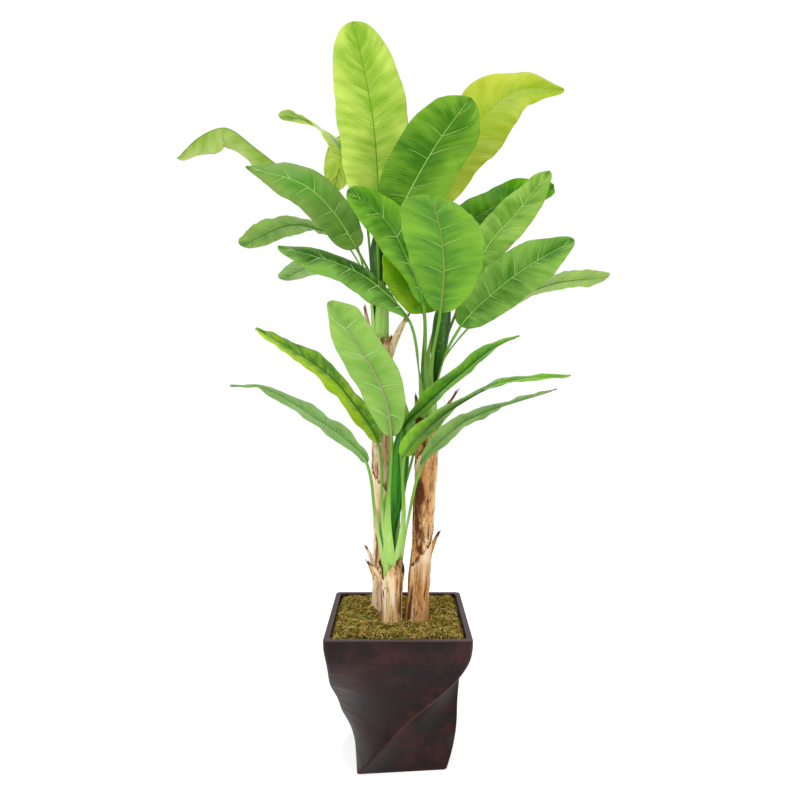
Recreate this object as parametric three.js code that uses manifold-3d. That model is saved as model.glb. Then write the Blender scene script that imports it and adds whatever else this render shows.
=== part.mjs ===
// An artificial banana plant about 2.3 m tall. Three bark-covered stems stand in a twisted square planter
// that is filled and topped with moss. Each stem carries a rolled young leaf and a whorl of broad leaves.
// Millimetres, +Z up. The viewer's side is -Y, so +X is right and +Y is back.
// The origin is the centre of the planter's flat underside.
import * as THREE from "three";
import { mergeVertices } from "three/addons/utils/BufferGeometryUtils.js";
import Module from "manifold-3d";

const wasm = await Module();
wasm.setup();

// Planter: a rounded square that shrinks and turns on its way down from the rim
const PLANTER_HEIGHT = 424;
const RIM_SIDE = 432;
const BASE_SIDE = 270;
const PLANTER_TURN = 85; // degrees that the section turns from the base up to the rim
const WALL = 18;
const FLOOR = 22;
const CORNER_ROUND = 12;
const PLANTER_LEVELS = 14;
const MOSS_TOP = 414;
const CLEARANCE = 0.3; // between pieces that touch in the real plant
const PLANTER_COLOR = 0x3a2526;
const MOSS_COLOR = 0x6f6a22;

// Stems
const STEM_BOW = 0.02; // four times the sideways bow at mid height, as a share of the length
const STEM_FLARE = 2;
const FLARE_HEIGHT = 25;
const STEM_WAIST = 3;
const LOBE_DEPTH = 1.2;
const FLAP_TIP = 8; // width of a bark flap's tip
const SPEAR_STALK = 6.5; // radius of the stalk below the roll
const SPEAR_BEND = 1.7; // exponent of a spear's lean with height

// Leaves
const SHEATH_RISE = 150; // a leaf's foot rises almost straight up out of its stem for this far
const SHEATH_SPREAD = 11; // and moves out by this much on the way
const SHEATH_CURL = 0.2; // how far the sides of a foot curl in, as a share of its half width
const PETIOLE_HALF = 5;
const PETIOLE_THICK = 9;
const BLADE_THICK_SHARE = 0.0105; // of the blade's length
const TIP_HALF = 4;
const RIB_DEPTH = 5; // of the midrib below the blade, at the collar
const BLADE_STATIONS = 13;
const PETIOLE_STATIONS = 6;
const ACROSS = [-1, -0.5, 0, 0.5, 1]; // places across a leaf, as shares of its half width
const RINGS = {
  outer: { radius: 0.8, half: 9.5, thick: 6 }, // radius as a share of the stem's bundle radius
  inner: { radius: 0.46, half: 6, thick: 5 },
};

// Stems: foot and top are places of the axis, and bundle is the radius that the leaves' feet fill.
// The spear is the young leaf, still rolled, and its tip is measured from the top of the stem.
const STEMS = {
  tall: {
    foot: [-50, 75], top: [-58, 78, 1300], footRadius: 36, topRadius: 40, bundle: 32,
    spear: { tip: [-14, -12, 340], radius: 24 }, color: 0xab8a72,
  },
  middle: {
    foot: [58, -30], top: [94, -27, 1045], footRadius: 36, topRadius: 37, bundle: 32,
    spear: { tip: [48, 0, 430], radius: 25 }, color: 0xb5854a,
  },
  short: {
    foot: [-20, -45], top: [-20, -45, 590], footRadius: 33, topRadius: 39, bundle: 36,
    spear: { tip: [26, 5, 450], radius: 26 }, color: 0xcfc0a0,
  },
};
const SPEAR_COLORS = { tall: 0x1c5a17, middle: 0x1f6018, short: 0x2a7a18 };

// Torn tips of old bark that stand off the stems: up is the height of the root above the ground
const BARK_FLAPS = [
  { stem: "tall", up: 530, turn: 180, length: 96, lean: 16, width: 26 },
  { stem: "tall", up: 508, turn: 200, length: 76, lean: 19, width: 20 },
  { stem: "tall", up: 1230, turn: -25, length: 177, lean: 23, width: 40 },
  { stem: "tall", up: 1240, turn: 180, length: 181, lean: 9, width: 34 },
  { stem: "middle", up: 600, turn: 0, length: 103, lean: 18, width: 30 },
  { stem: "middle", up: 985, turn: 0, length: 157, lean: 22, width: 30 },
  { stem: "middle", up: 990, turn: 185, length: 130, lean: 1, width: 30 },
  { stem: "short", up: 520, turn: -60, length: 95, lean: 3, width: 34 },
  { stem: "short", up: 520, turn: 15, length: 75, lean: 9, width: 36 },
  { stem: "short", up: 520, turn: 190, length: 70, lean: 9, width: 34 },
];

// Each leaf's spine is its midrib from the collar, where the blade starts, to the tip. It is measured right,
// back and up from the top of the leaf's stem. Turn is the side of the stem on which its foot stands, face
// the way its upper side looks, and tipFace the same at the tip of a leaf that twists. Cup is how far the
// two halves rise beside the midrib, or droop where it is below zero, as a share of the half width. Widest
// is the place of the full width along the blade.
const LEAVES = [
  {
    name: "tall_leaf_upright", ring: "inner", turn: 48, width: 238, cup: 0.12, widest: 0.55,
    face: [0.1, -1, 0.1], color: 0xa4cc3a,
    spine: [[20, 15, 340], [-6, 15, 510], [-30, 5, 765], [-87, -40, 1030]],
  },
  {
    name: "tall_leaf_far_left", ring: "outer", turn: 195, width: 150, cup: -0.7, widest: 0.5,
    face: [0, -0.45, 0.9], color: 0x9cc86a,
    spine: [
      [-115, -20, 390], [-295, -20, 538], [-410, -25, 628],
      [-500, -35, 688], [-580, -50, 655], [-650, -65, 580],
    ],
  },
  {
    name: "tall_leaf_left", ring: "outer", turn: 255, width: 150, cup: -0.2, widest: 0.45,
    face: [0.2, -0.9, 0.4], color: 0x5a9b46,
    spine: [[-75, -70, 290], [-150, -95, 405], [-240, -120, 480], [-410, -150, 525]],
  },
  {
    name: "tall_leaf_back_left", ring: "outer", turn: 135, width: 125, cup: 0.1, widest: 0.66,
    face: [0, 0.4, 0.9], color: 0x7db04a,
    spine: [[-125, 120, 345], [-240, 190, 415], [-365, 300, 447], [-565, 440, 400]],
  },
  {
    name: "tall_leaf_back_left_high", ring: "inner", turn: 165, width: 145, cup: 0.1, widest: 0.55,
    face: [0, 0, 1], color: 0x86b84c,
    spine: [[-60, 95, 470], [-150, 190, 705], [-290, 260, 830], [-385, 290, 850]],
  },
  {
    name: "tall_leaf_back", ring: "inner", turn: 105, width: 150, cup: 0.1, widest: 0.6,
    face: [0, 0.5, 1], color: 0xa8c840,
    spine: [[20, 140, 470], [-55, 280, 720], [-148, 370, 745], [-192, 400, 610]],
  },
  {
    name: "tall_leaf_front", ring: "inner", turn: -75, width: 216, cup: 0.12, widest: 0.5,
    face: [0.2, -1, 0.2], color: 0x50962a,
    spine: [[40, -60, 345], [82, -90, 440], [176, -140, 595], [278, -170, 728]],
  },
  {
    name: "tall_leaf_right_high", ring: "outer", turn: -45, width: 225, cup: 0.1, widest: 0.4,
    face: [-0.4, -1, 0.3], color: 0xbed23c,
    spine: [[100, 30, 390], [218, 45, 572], [372, 50, 786], [477, 40, 845], [612, 20, 836]],
  },
  {
    name: "tall_leaf_back_right", ring: "outer", turn: 12, width: 170, cup: 0.1, widest: 0.45,
    face: [-0.2, -0.9, 0.5], color: 0x468214,
    spine: [[150, 50, 290], [310, 110, 420], [475, 170, 520], [625, 220, 570]],
  },
  {
    name: "tall_leaf_back_left_low", ring: "outer", turn: 75, width: 130, cup: 0.1, widest: 0.65,
    face: [0, 0.3, 1], color: 0x78af4b,
    spine: [[-55, 100, 180], [-190, 220, 300], [-390, 350, 255]],
  },

  {
    name: "middle_leaf_front", ring: "outer", turn: 280, width: 228, cup: 0.12, widest: 0.55,
    face: [0.35, 1, 0.5], color: 0x78b93c,
    spine: [[35, -65, 330], [38, -185, 435], [20, -325, 515], [-15, -515, 555]],
  },
  {
    name: "middle_leaf_left_high", ring: "inner", turn: 250, width: 165, cup: 0.12, widest: 0.5,
    face: [0.2, -1, 0.5], color: 0x5fa535,
    spine: [[-15, -15, 360], [-75, -30, 520], [-130, -55, 610], [-245, -100, 692]],
  },
  {
    name: "middle_leaf_left_low", ring: "outer", turn: 220, width: 142, cup: -0.35, widest: 0.4,
    face: [0, -0.85, 0.5], color: 0x3c7d2d,
    spine: [[-60, -85, 303], [-150, -105, 400], [-250, -120, 460], [-445, -145, 515]],
  },
  {
    name: "middle_leaf_right_high", ring: "inner", turn: 10, width: 132, cup: 0.12, widest: 0.5,
    face: [-0.4, -1, 0.2], color: 0x96c85a,
    spine: [[110, 15, 385], [192, 25, 550], [288, 50, 662], [398, 75, 804]],
  },
  {
    name: "middle_leaf_right", ring: "outer", turn: 340, width: 158, cup: 0.12, widest: 0.5,
    face: [-0.2, -1, 0.3], color: 0x64a53c,
    spine: [[100, -35, 290], [180, -50, 375], [295, -65, 465], [435, -90, 545]],
  },
  {
    name: "middle_leaf_back_right", ring: "outer", turn: 40, width: 150, cup: 0.1, widest: 0.45,
    face: [0, 0.45, 0.9], color: 0xa5cd5f,
    spine: [[190, 85, 345], [365, 205, 430], [490, 295, 475], [705, 425, 512]],
  },
  {
    name: "middle_leaf_back_left", ring: "inner", turn: 130, width: 155, cup: 0.1, widest: 0.35,
    face: [0.3, -1, 0.4], color: 0x78a00a,
    spine: [[-10, 20, 335], [-42, 20, 455], [-80, 15, 600]],
  },
  {
    name: "middle_leaf_back", ring: "outer", turn: 100, width: 170, cup: 0.1, widest: 0.5,
    face: [0, -0.5, 1], color: 0x6ba53a,
    spine: [[45, 135, 390], [45, 265, 600], [-10, 445, 660]],
  },

  {
    name: "short_leaf_front", ring: "outer", turn: 257, width: 155, cup: 0.12, widest: 0.5,
    face: [0, 1, 0.2], color: 0x91cd5f,
    spine: [[0, -75, 410], [-25, -115, 545], [-83, -165, 660], [-153, -225, 792]],
  },
  {
    name: "short_leaf_left", ring: "inner", turn: 228, width: 130, cup: 0.3, widest: 0.45,
    face: [0.1, 0.4, 0.9], color: 0x8cb41e,
    spine: [[-40, -30, 385], [-105, -42, 495], [-200, -55, 605], [-405, -80, 735]],
  },
  {
    name: "short_leaf_left_low", ring: "outer", turn: 200, width: 105, cup: 0.2, widest: 0.4,
    face: [0, 0.5, 0.85], tipFace: [0, 0, 1], color: 0x78a55f,
    spine: [[-75, -65, 330], [-140, -90, 410], [-230, -125, 488], [-445, -205, 565]],
  },
  {
    name: "short_leaf_right_high", ring: "inner", turn: 342, width: 92, cup: 0.2, widest: 0.5,
    face: [0, 0.5, 0.85], tipFace: [0, 0, 1], color: 0x50a014,
    spine: [[35, -45, 425], [104, -65, 505], [214, -95, 594], [370, -155, 705]],
  },
  {
    name: "short_leaf_right", ring: "outer", turn: 314, width: 110, cup: 0.2, widest: 0.4,
    face: [0, 0.6, 0.8], tipFace: [0, -0.2, 1], color: 0x509614,
    spine: [[40, -75, 350], [100, -95, 430], [188, -120, 502], [315, -145, 568], [510, -185, 592]],
  },
  {
    name: "short_leaf_right_low", ring: "outer", turn: 11, width: 110, cup: 0.2, widest: 0.45,
    face: [0, 0.6, 0.8], tipFace: [0, -0.2, 1], color: 0x78a555,
    spine: [[90, -70, 320], [135, -105, 388], [230, -150, 470], [440, -305, 555]],
  },
  {
    name: "short_leaf_back_right", ring: "outer", turn: 68, width: 130, cup: 0.1, widest: 0.5,
    face: [0, 0, 1], color: 0x6ba53a,
    spine: [[70, 150, 325], [95, 265, 435], [130, 425, 410]],
  },
  {
    name: "short_leaf_back_left", ring: "outer", turn: 120, width: 110, cup: 0.1, widest: 0.5,
    face: [0, -0.5, 1], color: 0x78b03c,
    spine: [[35, 175, 370], [-10, 235, 525], [-90, 305, 705], [-150, 375, 800]],
  },
];

const vec = (x, y, z) => new THREE.Vector3(x, y, z);
const radians = THREE.MathUtils.degToRad;
const plan = (turn) => vec(Math.cos(radians(turn)), Math.sin(radians(turn)), 0);
const smooth = (low, high, value) => THREE.MathUtils.smoothstep(value, low, high);
const mix = THREE.MathUtils.lerp;

// A closed skin over rings of points. Each ring has the same even count and runs anticlockwise about the way
// that the loft goes. An end cap is a row of strips between its ring's two long sides.
function loft(rings) {
  const count = rings[0].length;
  const positions = rings.flat().flatMap((point) => [point.x, point.y, point.z]);
  const faces = [];
  for (let k = 0; k + 1 < rings.length; k++) {
    for (let i = 0; i < count; i++) {
      const j = (i + 1) % count;
      const low = k * count;
      const high = low + count;
      faces.push(low + i, low + j, high + j, low + i, high + j, high + i);
    }
  }
  const last = (rings.length - 1) * count;
  for (let i = 0; i < count / 2 - 1; i++) {
    const [a, b, c, d] = [i, i + 1, count - 2 - i, count - 1 - i];
    faces.push(c, b, a, d, c, a);
    faces.push(last + a, last + b, last + c, last + a, last + c, last + d);
  }
  const geometry = new THREE.BufferGeometry();
  geometry.setAttribute("position", new THREE.Float32BufferAttribute(positions, 3));
  geometry.setIndex(faces);
  return geometry;
}

function solidOf(geometry) {
  const merged = mergeVertices(geometry, 1e-3);
  return new wasm.Manifold(
    new wasm.Mesh({
      numProp: 3,
      vertProperties: merged.attributes.position.array,
      triVerts: new Uint32Array(merged.index.array),
    }),
  );
}

function geometryOf(solid) {
  const mesh = solid.getMesh();
  const geometry = new THREE.BufferGeometry();
  geometry.setAttribute("position", new THREE.BufferAttribute(mesh.vertProperties, 3));
  geometry.setIndex(new THREE.BufferAttribute(mesh.triVerts, 1));
  return geometry;
}

// A smooth path through a few places. Its direction at each place is that of the chord between the
// neighbours of the place.
class Path {
  constructor(places) {
    this.places = places;
    this.marks = [0];
    for (let i = 1; i < places.length; i++) {
      this.marks.push(this.marks[i - 1] + places[i].distanceTo(places[i - 1]));
    }
    const last = places.length - 1;
    this.slopes = places.map((place, i) => {
      const before = Math.max(i - 1, 0);
      const after = Math.min(i + 1, last);
      const span = this.marks[after] - this.marks[before];
      return places[after].clone().sub(places[before]).divideScalar(span);
    });
  }

  piece(mark) {
    let i = 0;
    while (i < this.places.length - 2 && mark > this.marks[i + 1]) i++;
    const span = this.marks[i + 1] - this.marks[i];
    return { i, span, t: (mark - this.marks[i]) / span };
  }

  at(mark) {
    const { i, span, t } = this.piece(mark);
    const point = this.places[i].clone().multiplyScalar(2 * t ** 3 - 3 * t ** 2 + 1);
    point.addScaledVector(this.slopes[i], span * (t ** 3 - 2 * t ** 2 + t));
    point.addScaledVector(this.places[i + 1], 3 * t ** 2 - 2 * t ** 3);
    return point.addScaledVector(this.slopes[i + 1], span * (t ** 3 - t ** 2));
  }

  way(mark) {
    const step = 1;
    const end = this.marks[this.marks.length - 1];
    const ahead = this.at(Math.min(mark + step, end));
    return ahead.sub(this.at(Math.max(mark - step, 0))).normalize();
  }
}

// Share of the planter's turn reached at t: a steady rise from the base, which eases off and ends below
// the rim
function turnShare(t) {
  const easeStart = 0.6;
  const easeEnd = 0.88;
  const eased = THREE.MathUtils.clamp(t - easeStart, 0, easeEnd - easeStart);
  const rise = (level) => Math.min(t, easeEnd) - level ** 2 / (2 * (easeEnd - easeStart));
  return rise(eased) / ((easeStart + easeEnd) / 2);
}

// The planter's outline at a height, taken in by an inset on all four sides
function planterRing(height, inset) {
  const t = height / PLANTER_HEIGHT;
  const half = mix(BASE_SIDE, RIM_SIDE, smooth(0.3, 0.97, t)) / 2 - inset;
  const turn = radians(PLANTER_TURN * (turnShare(t) - 1));
  const leastRound = 3;
  const round = Math.max(CORNER_ROUND - inset, leastRound);
  const ring = [];
  for (let corner = 0; corner < 4; corner++) {
    for (const bend of [0, 45, 90]) {
      const angle = radians(corner * 90 + bend);
      const flat = half - round;
      const cornerX = flat * Math.SQRT2 * Math.cos(radians(corner * 90 + 45));
      const cornerY = flat * Math.SQRT2 * Math.sin(radians(corner * 90 + 45));
      ring.push(vec(cornerX + round * Math.cos(angle), cornerY + round * Math.sin(angle), height));
    }
    for (const share of [0.25, 0.5, 0.75]) {
      const along = mix(half - round, round - half, share);
      const side = vec(along, half, height);
      ring.push(side.applyAxisAngle(vec(0, 0, 1), radians(corner * 90)));
    }
  }
  return ring.map((point) => point.applyAxisAngle(vec(0, 0, 1), turn));
}

// The heights of the planter's rings from low to high. One is at the top of the moss, so that the planter and
// the moss bed have the same faces side by side.
function planterLevels(low, high) {
  const leastStep = 5;
  const levels = [low];
  for (let k = 1; k < PLANTER_LEVELS; k++) {
    const level = (PLANTER_HEIGHT * k) / PLANTER_LEVELS;
    if (level > low + leastStep && level < high - leastStep) levels.push(level);
  }
  if (high > MOSS_TOP) levels.push(MOSS_TOP);
  levels.push(high);
  return levels;
}

function planter() {
  const outside = loft(planterLevels(0, PLANTER_HEIGHT).map((level) => planterRing(level, 0)));
  const rise = planterLevels(FLOOR, PLANTER_HEIGHT + 1);
  const inside = loft(rise.map((level) => planterRing(level, WALL)));
  return geometryOf(solidOf(outside).subtract(solidOf(inside)));
}

function mossBed() {
  const rise = planterLevels(FLOOR, MOSS_TOP);
  rise[0] += CLEARANCE;
  return loft(rise.map((level) => planterRing(level, WALL + 2 * CLEARANCE)));
}

// The middle of a stem at a height, on an axis that bows a little to the right
function stemAxis(stem, height) {
  const length = stem.top[2] - MOSS_TOP;
  const t = (height - MOSS_TOP) / length;
  const bow = STEM_BOW * length * t * (1 - t);
  return vec(mix(stem.foot[0], stem.top[0], t) + bow, mix(stem.foot[1], stem.top[1], t), height);
}

// A stem's radius at a height, with a slight flare at the foot and a waist between foot and top
function stemRadius(stem, height) {
  const t = (height - MOSS_TOP) / (stem.top[2] - MOSS_TOP);
  const flare = STEM_FLARE * Math.exp((MOSS_TOP - height) / FLARE_HEIGHT);
  const waist = STEM_WAIST * Math.sin(Math.PI * t);
  return mix(stem.footRadius, stem.topRadius, t) + flare - waist;
}

function stemBody(stem) {
  const sides = 14;
  const levels = 12;
  const lobes = 3;
  const lobeTwist = 0.4; // degrees per millimetre of height
  const rings = [];
  for (let k = 0; k <= levels; k++) {
    const height = mix(MOSS_TOP + CLEARANCE, stem.top[2], k / levels);
    const centre = stemAxis(stem, height);
    const ring = [];
    for (let i = 0; i < sides; i++) {
      const turn = (360 * i) / sides;
      const lobe = LOBE_DEPTH * Math.sin(radians(lobes * turn + height * lobeTwist));
      ring.push(centre.clone().addScaledVector(plan(turn), stemRadius(stem, height) + lobe));
    }
    rings.push(ring);
  }
  return loft(rings);
}

// A strip of bark, rooted in the stem, that leans out and narrows to a torn tip
function barkFlap(stem, flap) {
  const out = plan(flap.turn);
  const side = plan(flap.turn + 90);
  const rooted = 3;
  const root = stemAxis(stem, flap.up).addScaledVector(out, stemRadius(stem, flap.up) - rooted);
  const lean = radians(flap.lean);
  const steps = 4;
  const rings = [];
  for (let k = 0; k <= steps; k++) {
    const t = k / steps;
    const centre = root.clone().addScaledVector(out, flap.length * Math.sin(lean) * t ** 1.5);
    centre.z += flap.length * Math.cos(lean) * t;
    const half = mix(flap.width / 2, FLAP_TIP / 2, t);
    const thick = mix(3.5, 2.5, t);
    const corners = [[-1, 1], [-1, -1], [1, -1], [1, 1]];
    rings.push(
      corners.map(([across, depth]) =>
        centre.clone().addScaledVector(side, half * across).addScaledVector(out, -thick * depth),
      ),
    );
  }
  return loft(rings);
}

function stemGeometry(name) {
  const stem = STEMS[name];
  let solid = solidOf(stemBody(stem));
  for (const flap of BARK_FLAPS.filter((row) => row.stem === name)) {
    solid = solid.add(solidOf(barkFlap(stem, flap)));
  }
  return geometryOf(solid);
}

// The young leaf, still rolled, that stands in the middle of the whorl
function spear(stem) {
  const levels = [0, 0.15, 0.3, 0.42, 0.54, 0.66, 0.78, 0.88, 0.95, 1];
  const base = vec(...stem.top).add(vec(0, 0, CLEARANCE));
  const tip = vec(...stem.top).add(vec(...stem.spear.tip));
  const sides = 10;
  const rings = levels.map((t) => {
    const rolled = mix(SPEAR_STALK, stem.spear.radius, smooth(0.25, 0.8, t));
    const radius = rolled * Math.sqrt(1.02 - smooth(0.7, 1, t));
    const centre = base.clone().lerp(tip, t ** SPEAR_BEND).setZ(mix(base.z, tip.z, t));
    const ring = [];
    for (let i = 0; i < sides; i++) {
      ring.push(centre.clone().addScaledVector(plan((360 * i) / sides), radius));
    }
    return ring;
  });
  return loft(rings);
}

// Where a leaf's foot stands on the top of its stem
function footOf(leaf, stem) {
  const reach = stem.bundle * RINGS[leaf.ring].radius;
  return vec(...stem.top).addScaledVector(plan(leaf.turn), reach).add(vec(0, 0, CLEARANCE));
}

// Share of its full half width that a blade has at u, from 0 at the collar to 1 at the tip
function bladeShare(u, widest) {
  const blunt = 0.42;
  const v = u ** (Math.log(0.5) / Math.log(widest));
  return (4 * v * (1 - v)) ** blunt;
}

// A leaf: the foot of its stalk is a strip curled about the stem's middle, the stalk rounds off above it, and
// the blade opens beyond the collar.
function leafGeometry(leaf, stem) {
  const ring = RINGS[leaf.ring];
  const top = vec(...stem.top);
  const place = (offset) => vec(...offset).add(top);
  const foot = footOf(leaf, stem);
  const sheathTop = foot.clone().addScaledVector(plan(leaf.turn), SHEATH_SPREAD);
  sheathTop.z += SHEATH_RISE;
  const midrib = new Path([foot, sheathTop, ...leaf.spine.map(place)]);
  const collar = midrib.marks[2];
  const bladeLength = midrib.marks[midrib.marks.length - 1] - collar;
  const inward = plan(leaf.turn + 180);
  const face = vec(...leaf.face).normalize();
  const tipFace = vec(...(leaf.tipFace ?? leaf.face)).normalize();

  const stations = [];
  for (let k = 0; k < PETIOLE_STATIONS; k++) {
    stations.push({ mark: (collar * k) / PETIOLE_STATIONS, u: 0 });
  }
  for (let k = 0; k <= BLADE_STATIONS; k++) {
    const u = (1 - Math.cos((Math.PI * k) / BLADE_STATIONS)) / 2;
    stations.push({ mark: collar + bladeLength * u, u });
  }
  const rings = stations.map(({ mark, u }, k) => {
    const way = k === 0 ? vec(0, 0, 1) : midrib.way(mark);
    const toFace = smooth(0.1, 0.95, mark / collar);
    const up = inward.clone().lerp(face.clone().lerp(tipFace, u), toFace);
    up.addScaledVector(way, -up.dot(way)).normalize();
    const side = up.clone().cross(way);
    const sheath = 1 - smooth(0, SHEATH_RISE * 1.3, mark);
    const onBlade = smooth(0, 0.06, u);
    const bladeHalf = (bladeShare(u, leaf.widest) * leaf.width) / 2;
    const leastHalf = u > 0.5 ? TIP_HALF : mix(PETIOLE_HALF, ring.half, sheath);
    const half = Math.max(u > 0 ? bladeHalf : 0, leastHalf);
    const stalkThick = mix(PETIOLE_THICK, ring.thick, sheath);
    const thick = mix(stalkThick, bladeLength * BLADE_THICK_SHARE, onBlade);
    const cup = leaf.cup * onBlade;
    const curl = mix(SHEATH_CURL * sheath, -0.5 * leaf.cup, onBlade);
    const rib = RIB_DEPTH * onBlade * (1 - u);
    const at = (share, depth) => {
      const lift = half * (cup * Math.abs(share) + curl * share ** 2) - depth;
      return midrib.at(mark).addScaledVector(side, half * share).addScaledVector(up, lift);
    };
    const lower = ACROSS.map((share) => at(share, thick / 2 + (share === 0 ? rib : 0)));
    const upper = ACROSS.map((share) => at(share, -thick / 2));
    return [...lower, ...upper.reverse()];
  });
  return loft(rings);
}

const plant = new THREE.Group();

function addMesh(name, geometry, color, roughness) {
  const material = new THREE.MeshStandardMaterial({ color, roughness, metalness: 0 });
  const mesh = new THREE.Mesh(geometry, material);
  mesh.name = name;
  plant.add(mesh);
}

addMesh("planter", planter(), PLANTER_COLOR, 0.5);
addMesh("moss_bed", mossBed(), MOSS_COLOR, 1);
for (const [stemName, stem] of Object.entries(STEMS)) {
  addMesh(`${stemName}_stem`, stemGeometry(stemName), stem.color, 0.9);
  addMesh(`${stemName}_spear`, spear(stem), SPEAR_COLORS[stemName], 0.45);
  for (const leaf of LEAVES.filter((row) => row.name.startsWith(stemName))) {
    addMesh(leaf.name, leafGeometry(leaf, stem), leaf.color, 0.45);
  }
}

export default plant;
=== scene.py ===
"""An artificial banana plant, about 2.3 m tall, in a twisted square planter.

Three bark-covered stems stand in a bed of moss. Each carries a rolled young leaf and a whorl of broad
leaves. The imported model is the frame, and every piece here stands for one of its nodes. Tables are in
millimetres and Blender's own places are in metres. The viewer's side is -Y, +X is right and +Z is up.
"""

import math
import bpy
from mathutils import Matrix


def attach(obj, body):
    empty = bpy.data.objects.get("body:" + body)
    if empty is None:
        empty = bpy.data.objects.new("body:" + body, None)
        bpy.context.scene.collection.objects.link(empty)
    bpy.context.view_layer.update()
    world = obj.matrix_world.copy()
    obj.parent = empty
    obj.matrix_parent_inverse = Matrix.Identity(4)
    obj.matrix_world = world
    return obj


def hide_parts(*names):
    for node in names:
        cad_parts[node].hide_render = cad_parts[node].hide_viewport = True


bl_info = {
    "name": "Banana Plant",
    "version": (1, 0, 0),
    "blender": (4, 5, 0),
    "location": "View3D > Sidebar > Banana Plant",
    "description": "Builds an artificial banana plant in a twisted planter, piece by piece",
    "category": "Object",
}

from typing import NamedTuple

import bmesh
import bpy
import numpy as np
from mathutils import Vector, noise

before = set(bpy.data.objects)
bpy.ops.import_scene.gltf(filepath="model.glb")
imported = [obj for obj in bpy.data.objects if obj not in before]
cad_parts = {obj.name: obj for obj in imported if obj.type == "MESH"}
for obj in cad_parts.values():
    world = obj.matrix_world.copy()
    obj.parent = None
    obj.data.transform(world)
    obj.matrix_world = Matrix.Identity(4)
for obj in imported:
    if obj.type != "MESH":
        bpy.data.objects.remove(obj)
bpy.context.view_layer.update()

MM = 0.001
BODY = "root"
UP = np.array([0.0, 0.0, 1.0])

# Planter and moss, as in the frame
PLANTER_HEIGHT = 424
RIM_SIDE = 432
BASE_SIDE = 270
PLANTER_TURN = 85  # degrees from the base to the rim
WALL = 18
MOSS_TOP = 414  # height above the ground
TWIST_STEADY = 0.6  # share of the height up to which the twist is steady
TWIST_EASE = 0.28  # share of the height over which it then fades out
FLARE_START = 0.3  # shares of the height between which the sides widen
FLARE_END = 0.97
WALL_SHOWN = 40  # how far the inside of the wall goes on below the top of the moss
BED_SUNK = 15  # how far the moss lies below its top along the walls
BED_CROWN = 17  # how far it rises from there, without its lumps
BED_DEPTH = 38  # how far its skirt reaches down below its top
BED_SIDE = 90  # vertices along a side of the bed


class Stem(NamedTuple):
    """One stem, as in the frame. Its axis runs from its foot in the moss to the top of its bark."""

    foot: tuple
    top: tuple
    foot_radius: float
    top_radius: float
    bundle: float  # radius of the bundle of stalks at its top
    splay: float  # how far the stalks' sheaths lean out over their height
    burnt: float  # how dark the bark's top edge is
    seed: int
    spear_tip: tuple  # right, back and up from its top
    spear_radius: float
    spear_bend: float  # over 1 the spear leans late on its way up, under 1 early


STEMS = {
    "tall": Stem((-50, 75), (-58, 78, 1300), 36, 40, 32, 11, 0.5, 3, (-14, -6, 375), 28, 1.7),
    "middle": Stem((58, -30), (94, -27, 1045), 36, 37, 32, 11, 0.5, 8, (57, -6, 430), 28, 0.75),
    "short": Stem((-20, -45), (-20, -45, 590), 33, 39, 36, 24, 0.15, 4, (35, 8, 450), 33, 1.25),
}
STEM_BOW = 0.02  # how far a stem bows to the right, as a share of its length
STEM_WAIST = 3  # how much thinner a stem is at half its height
BARK_SUNK = 12  # how far the bark reaches down into the moss
BARK_STEP = 4.2  # height of one ring of the bark's mesh
BARK_SIDES = 108  # vertices round one ring
FLAP_TWIST = 62  # degrees by which a torn strip at a stem's side turns its face to the viewer
FLAP_TIP_HALF = 5.5  # half width of a torn strip at its tip
SPEAR_FOOT = 6.5  # radius of a rolled leaf where it leaves the stem
SPEAR_LAP = 0.10  # share of its radius by which its free edge stands over the turn below

# Stalks: the leaves' feet stand on two rings of their stem's bundle
RING_SHARE = {"outer": 0.8, "inner": 0.46}
CLEARANCE = 0.3  # between a stem's top and its stalks' feet in the frame
SHEATH_RISE = 150  # height to which a stalk's sheath runs straight
SHEATH_HALF = {"outer": 19.0, "inner": 12.0}  # half width at its foot
SHEATH_THICK = 2.0
STALK_HALF = 4.6  # half width above the sheath
STALK_THICK = 4.4
STALK_SUNK = 70  # how far a stalk reaches down inside the bark
STALK_SIDES = 18  # vertices round a stalk

# Blades
MIDRIB_HALF = 3.6  # half width at the collar
MIDRIB_TIP = 1.0  # half width at the tip
MIDRIB_DROP = 0.62  # share of the midrib's thickness by which it lies under the blade
SHADING_LINE_GAP = 2.6  # how far the painted shading line lies from its side rib: shade where its tone is dark, a highlight where it is pale
BLADE_ROWS = 100  # vertices along a blade, closer together at its ends
BLADE_COLUMNS = 37  # vertices across it
# A vein or rib rises along the midrib as it runs out: by a slope that grows towards the tip, less a sag
VEIN_SLOPE = 0.2
VEIN_GROWTH = 0.8
VEIN_SAG = 0.15

# Stage
SHIFT = (0.0025, -0.0275)  # how far the camera's picture is shifted, as shares of its width
MIDDLE = Vector((0, 0, 1.2))  # what the lamps look at, in metres
FLOOR_HALF = 12000  # half a side of the floor


class Flap(NamedTuple):
    """A torn strip of bark that stands off its stem. Up is the height of its root above the ground."""

    stem: str
    up: float
    turn: float
    length: float
    lean: float
    width: float
    sway: float = 0.0  # sideways lean, in degrees
    tip: float = 0.75  # how dark its tip is


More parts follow.
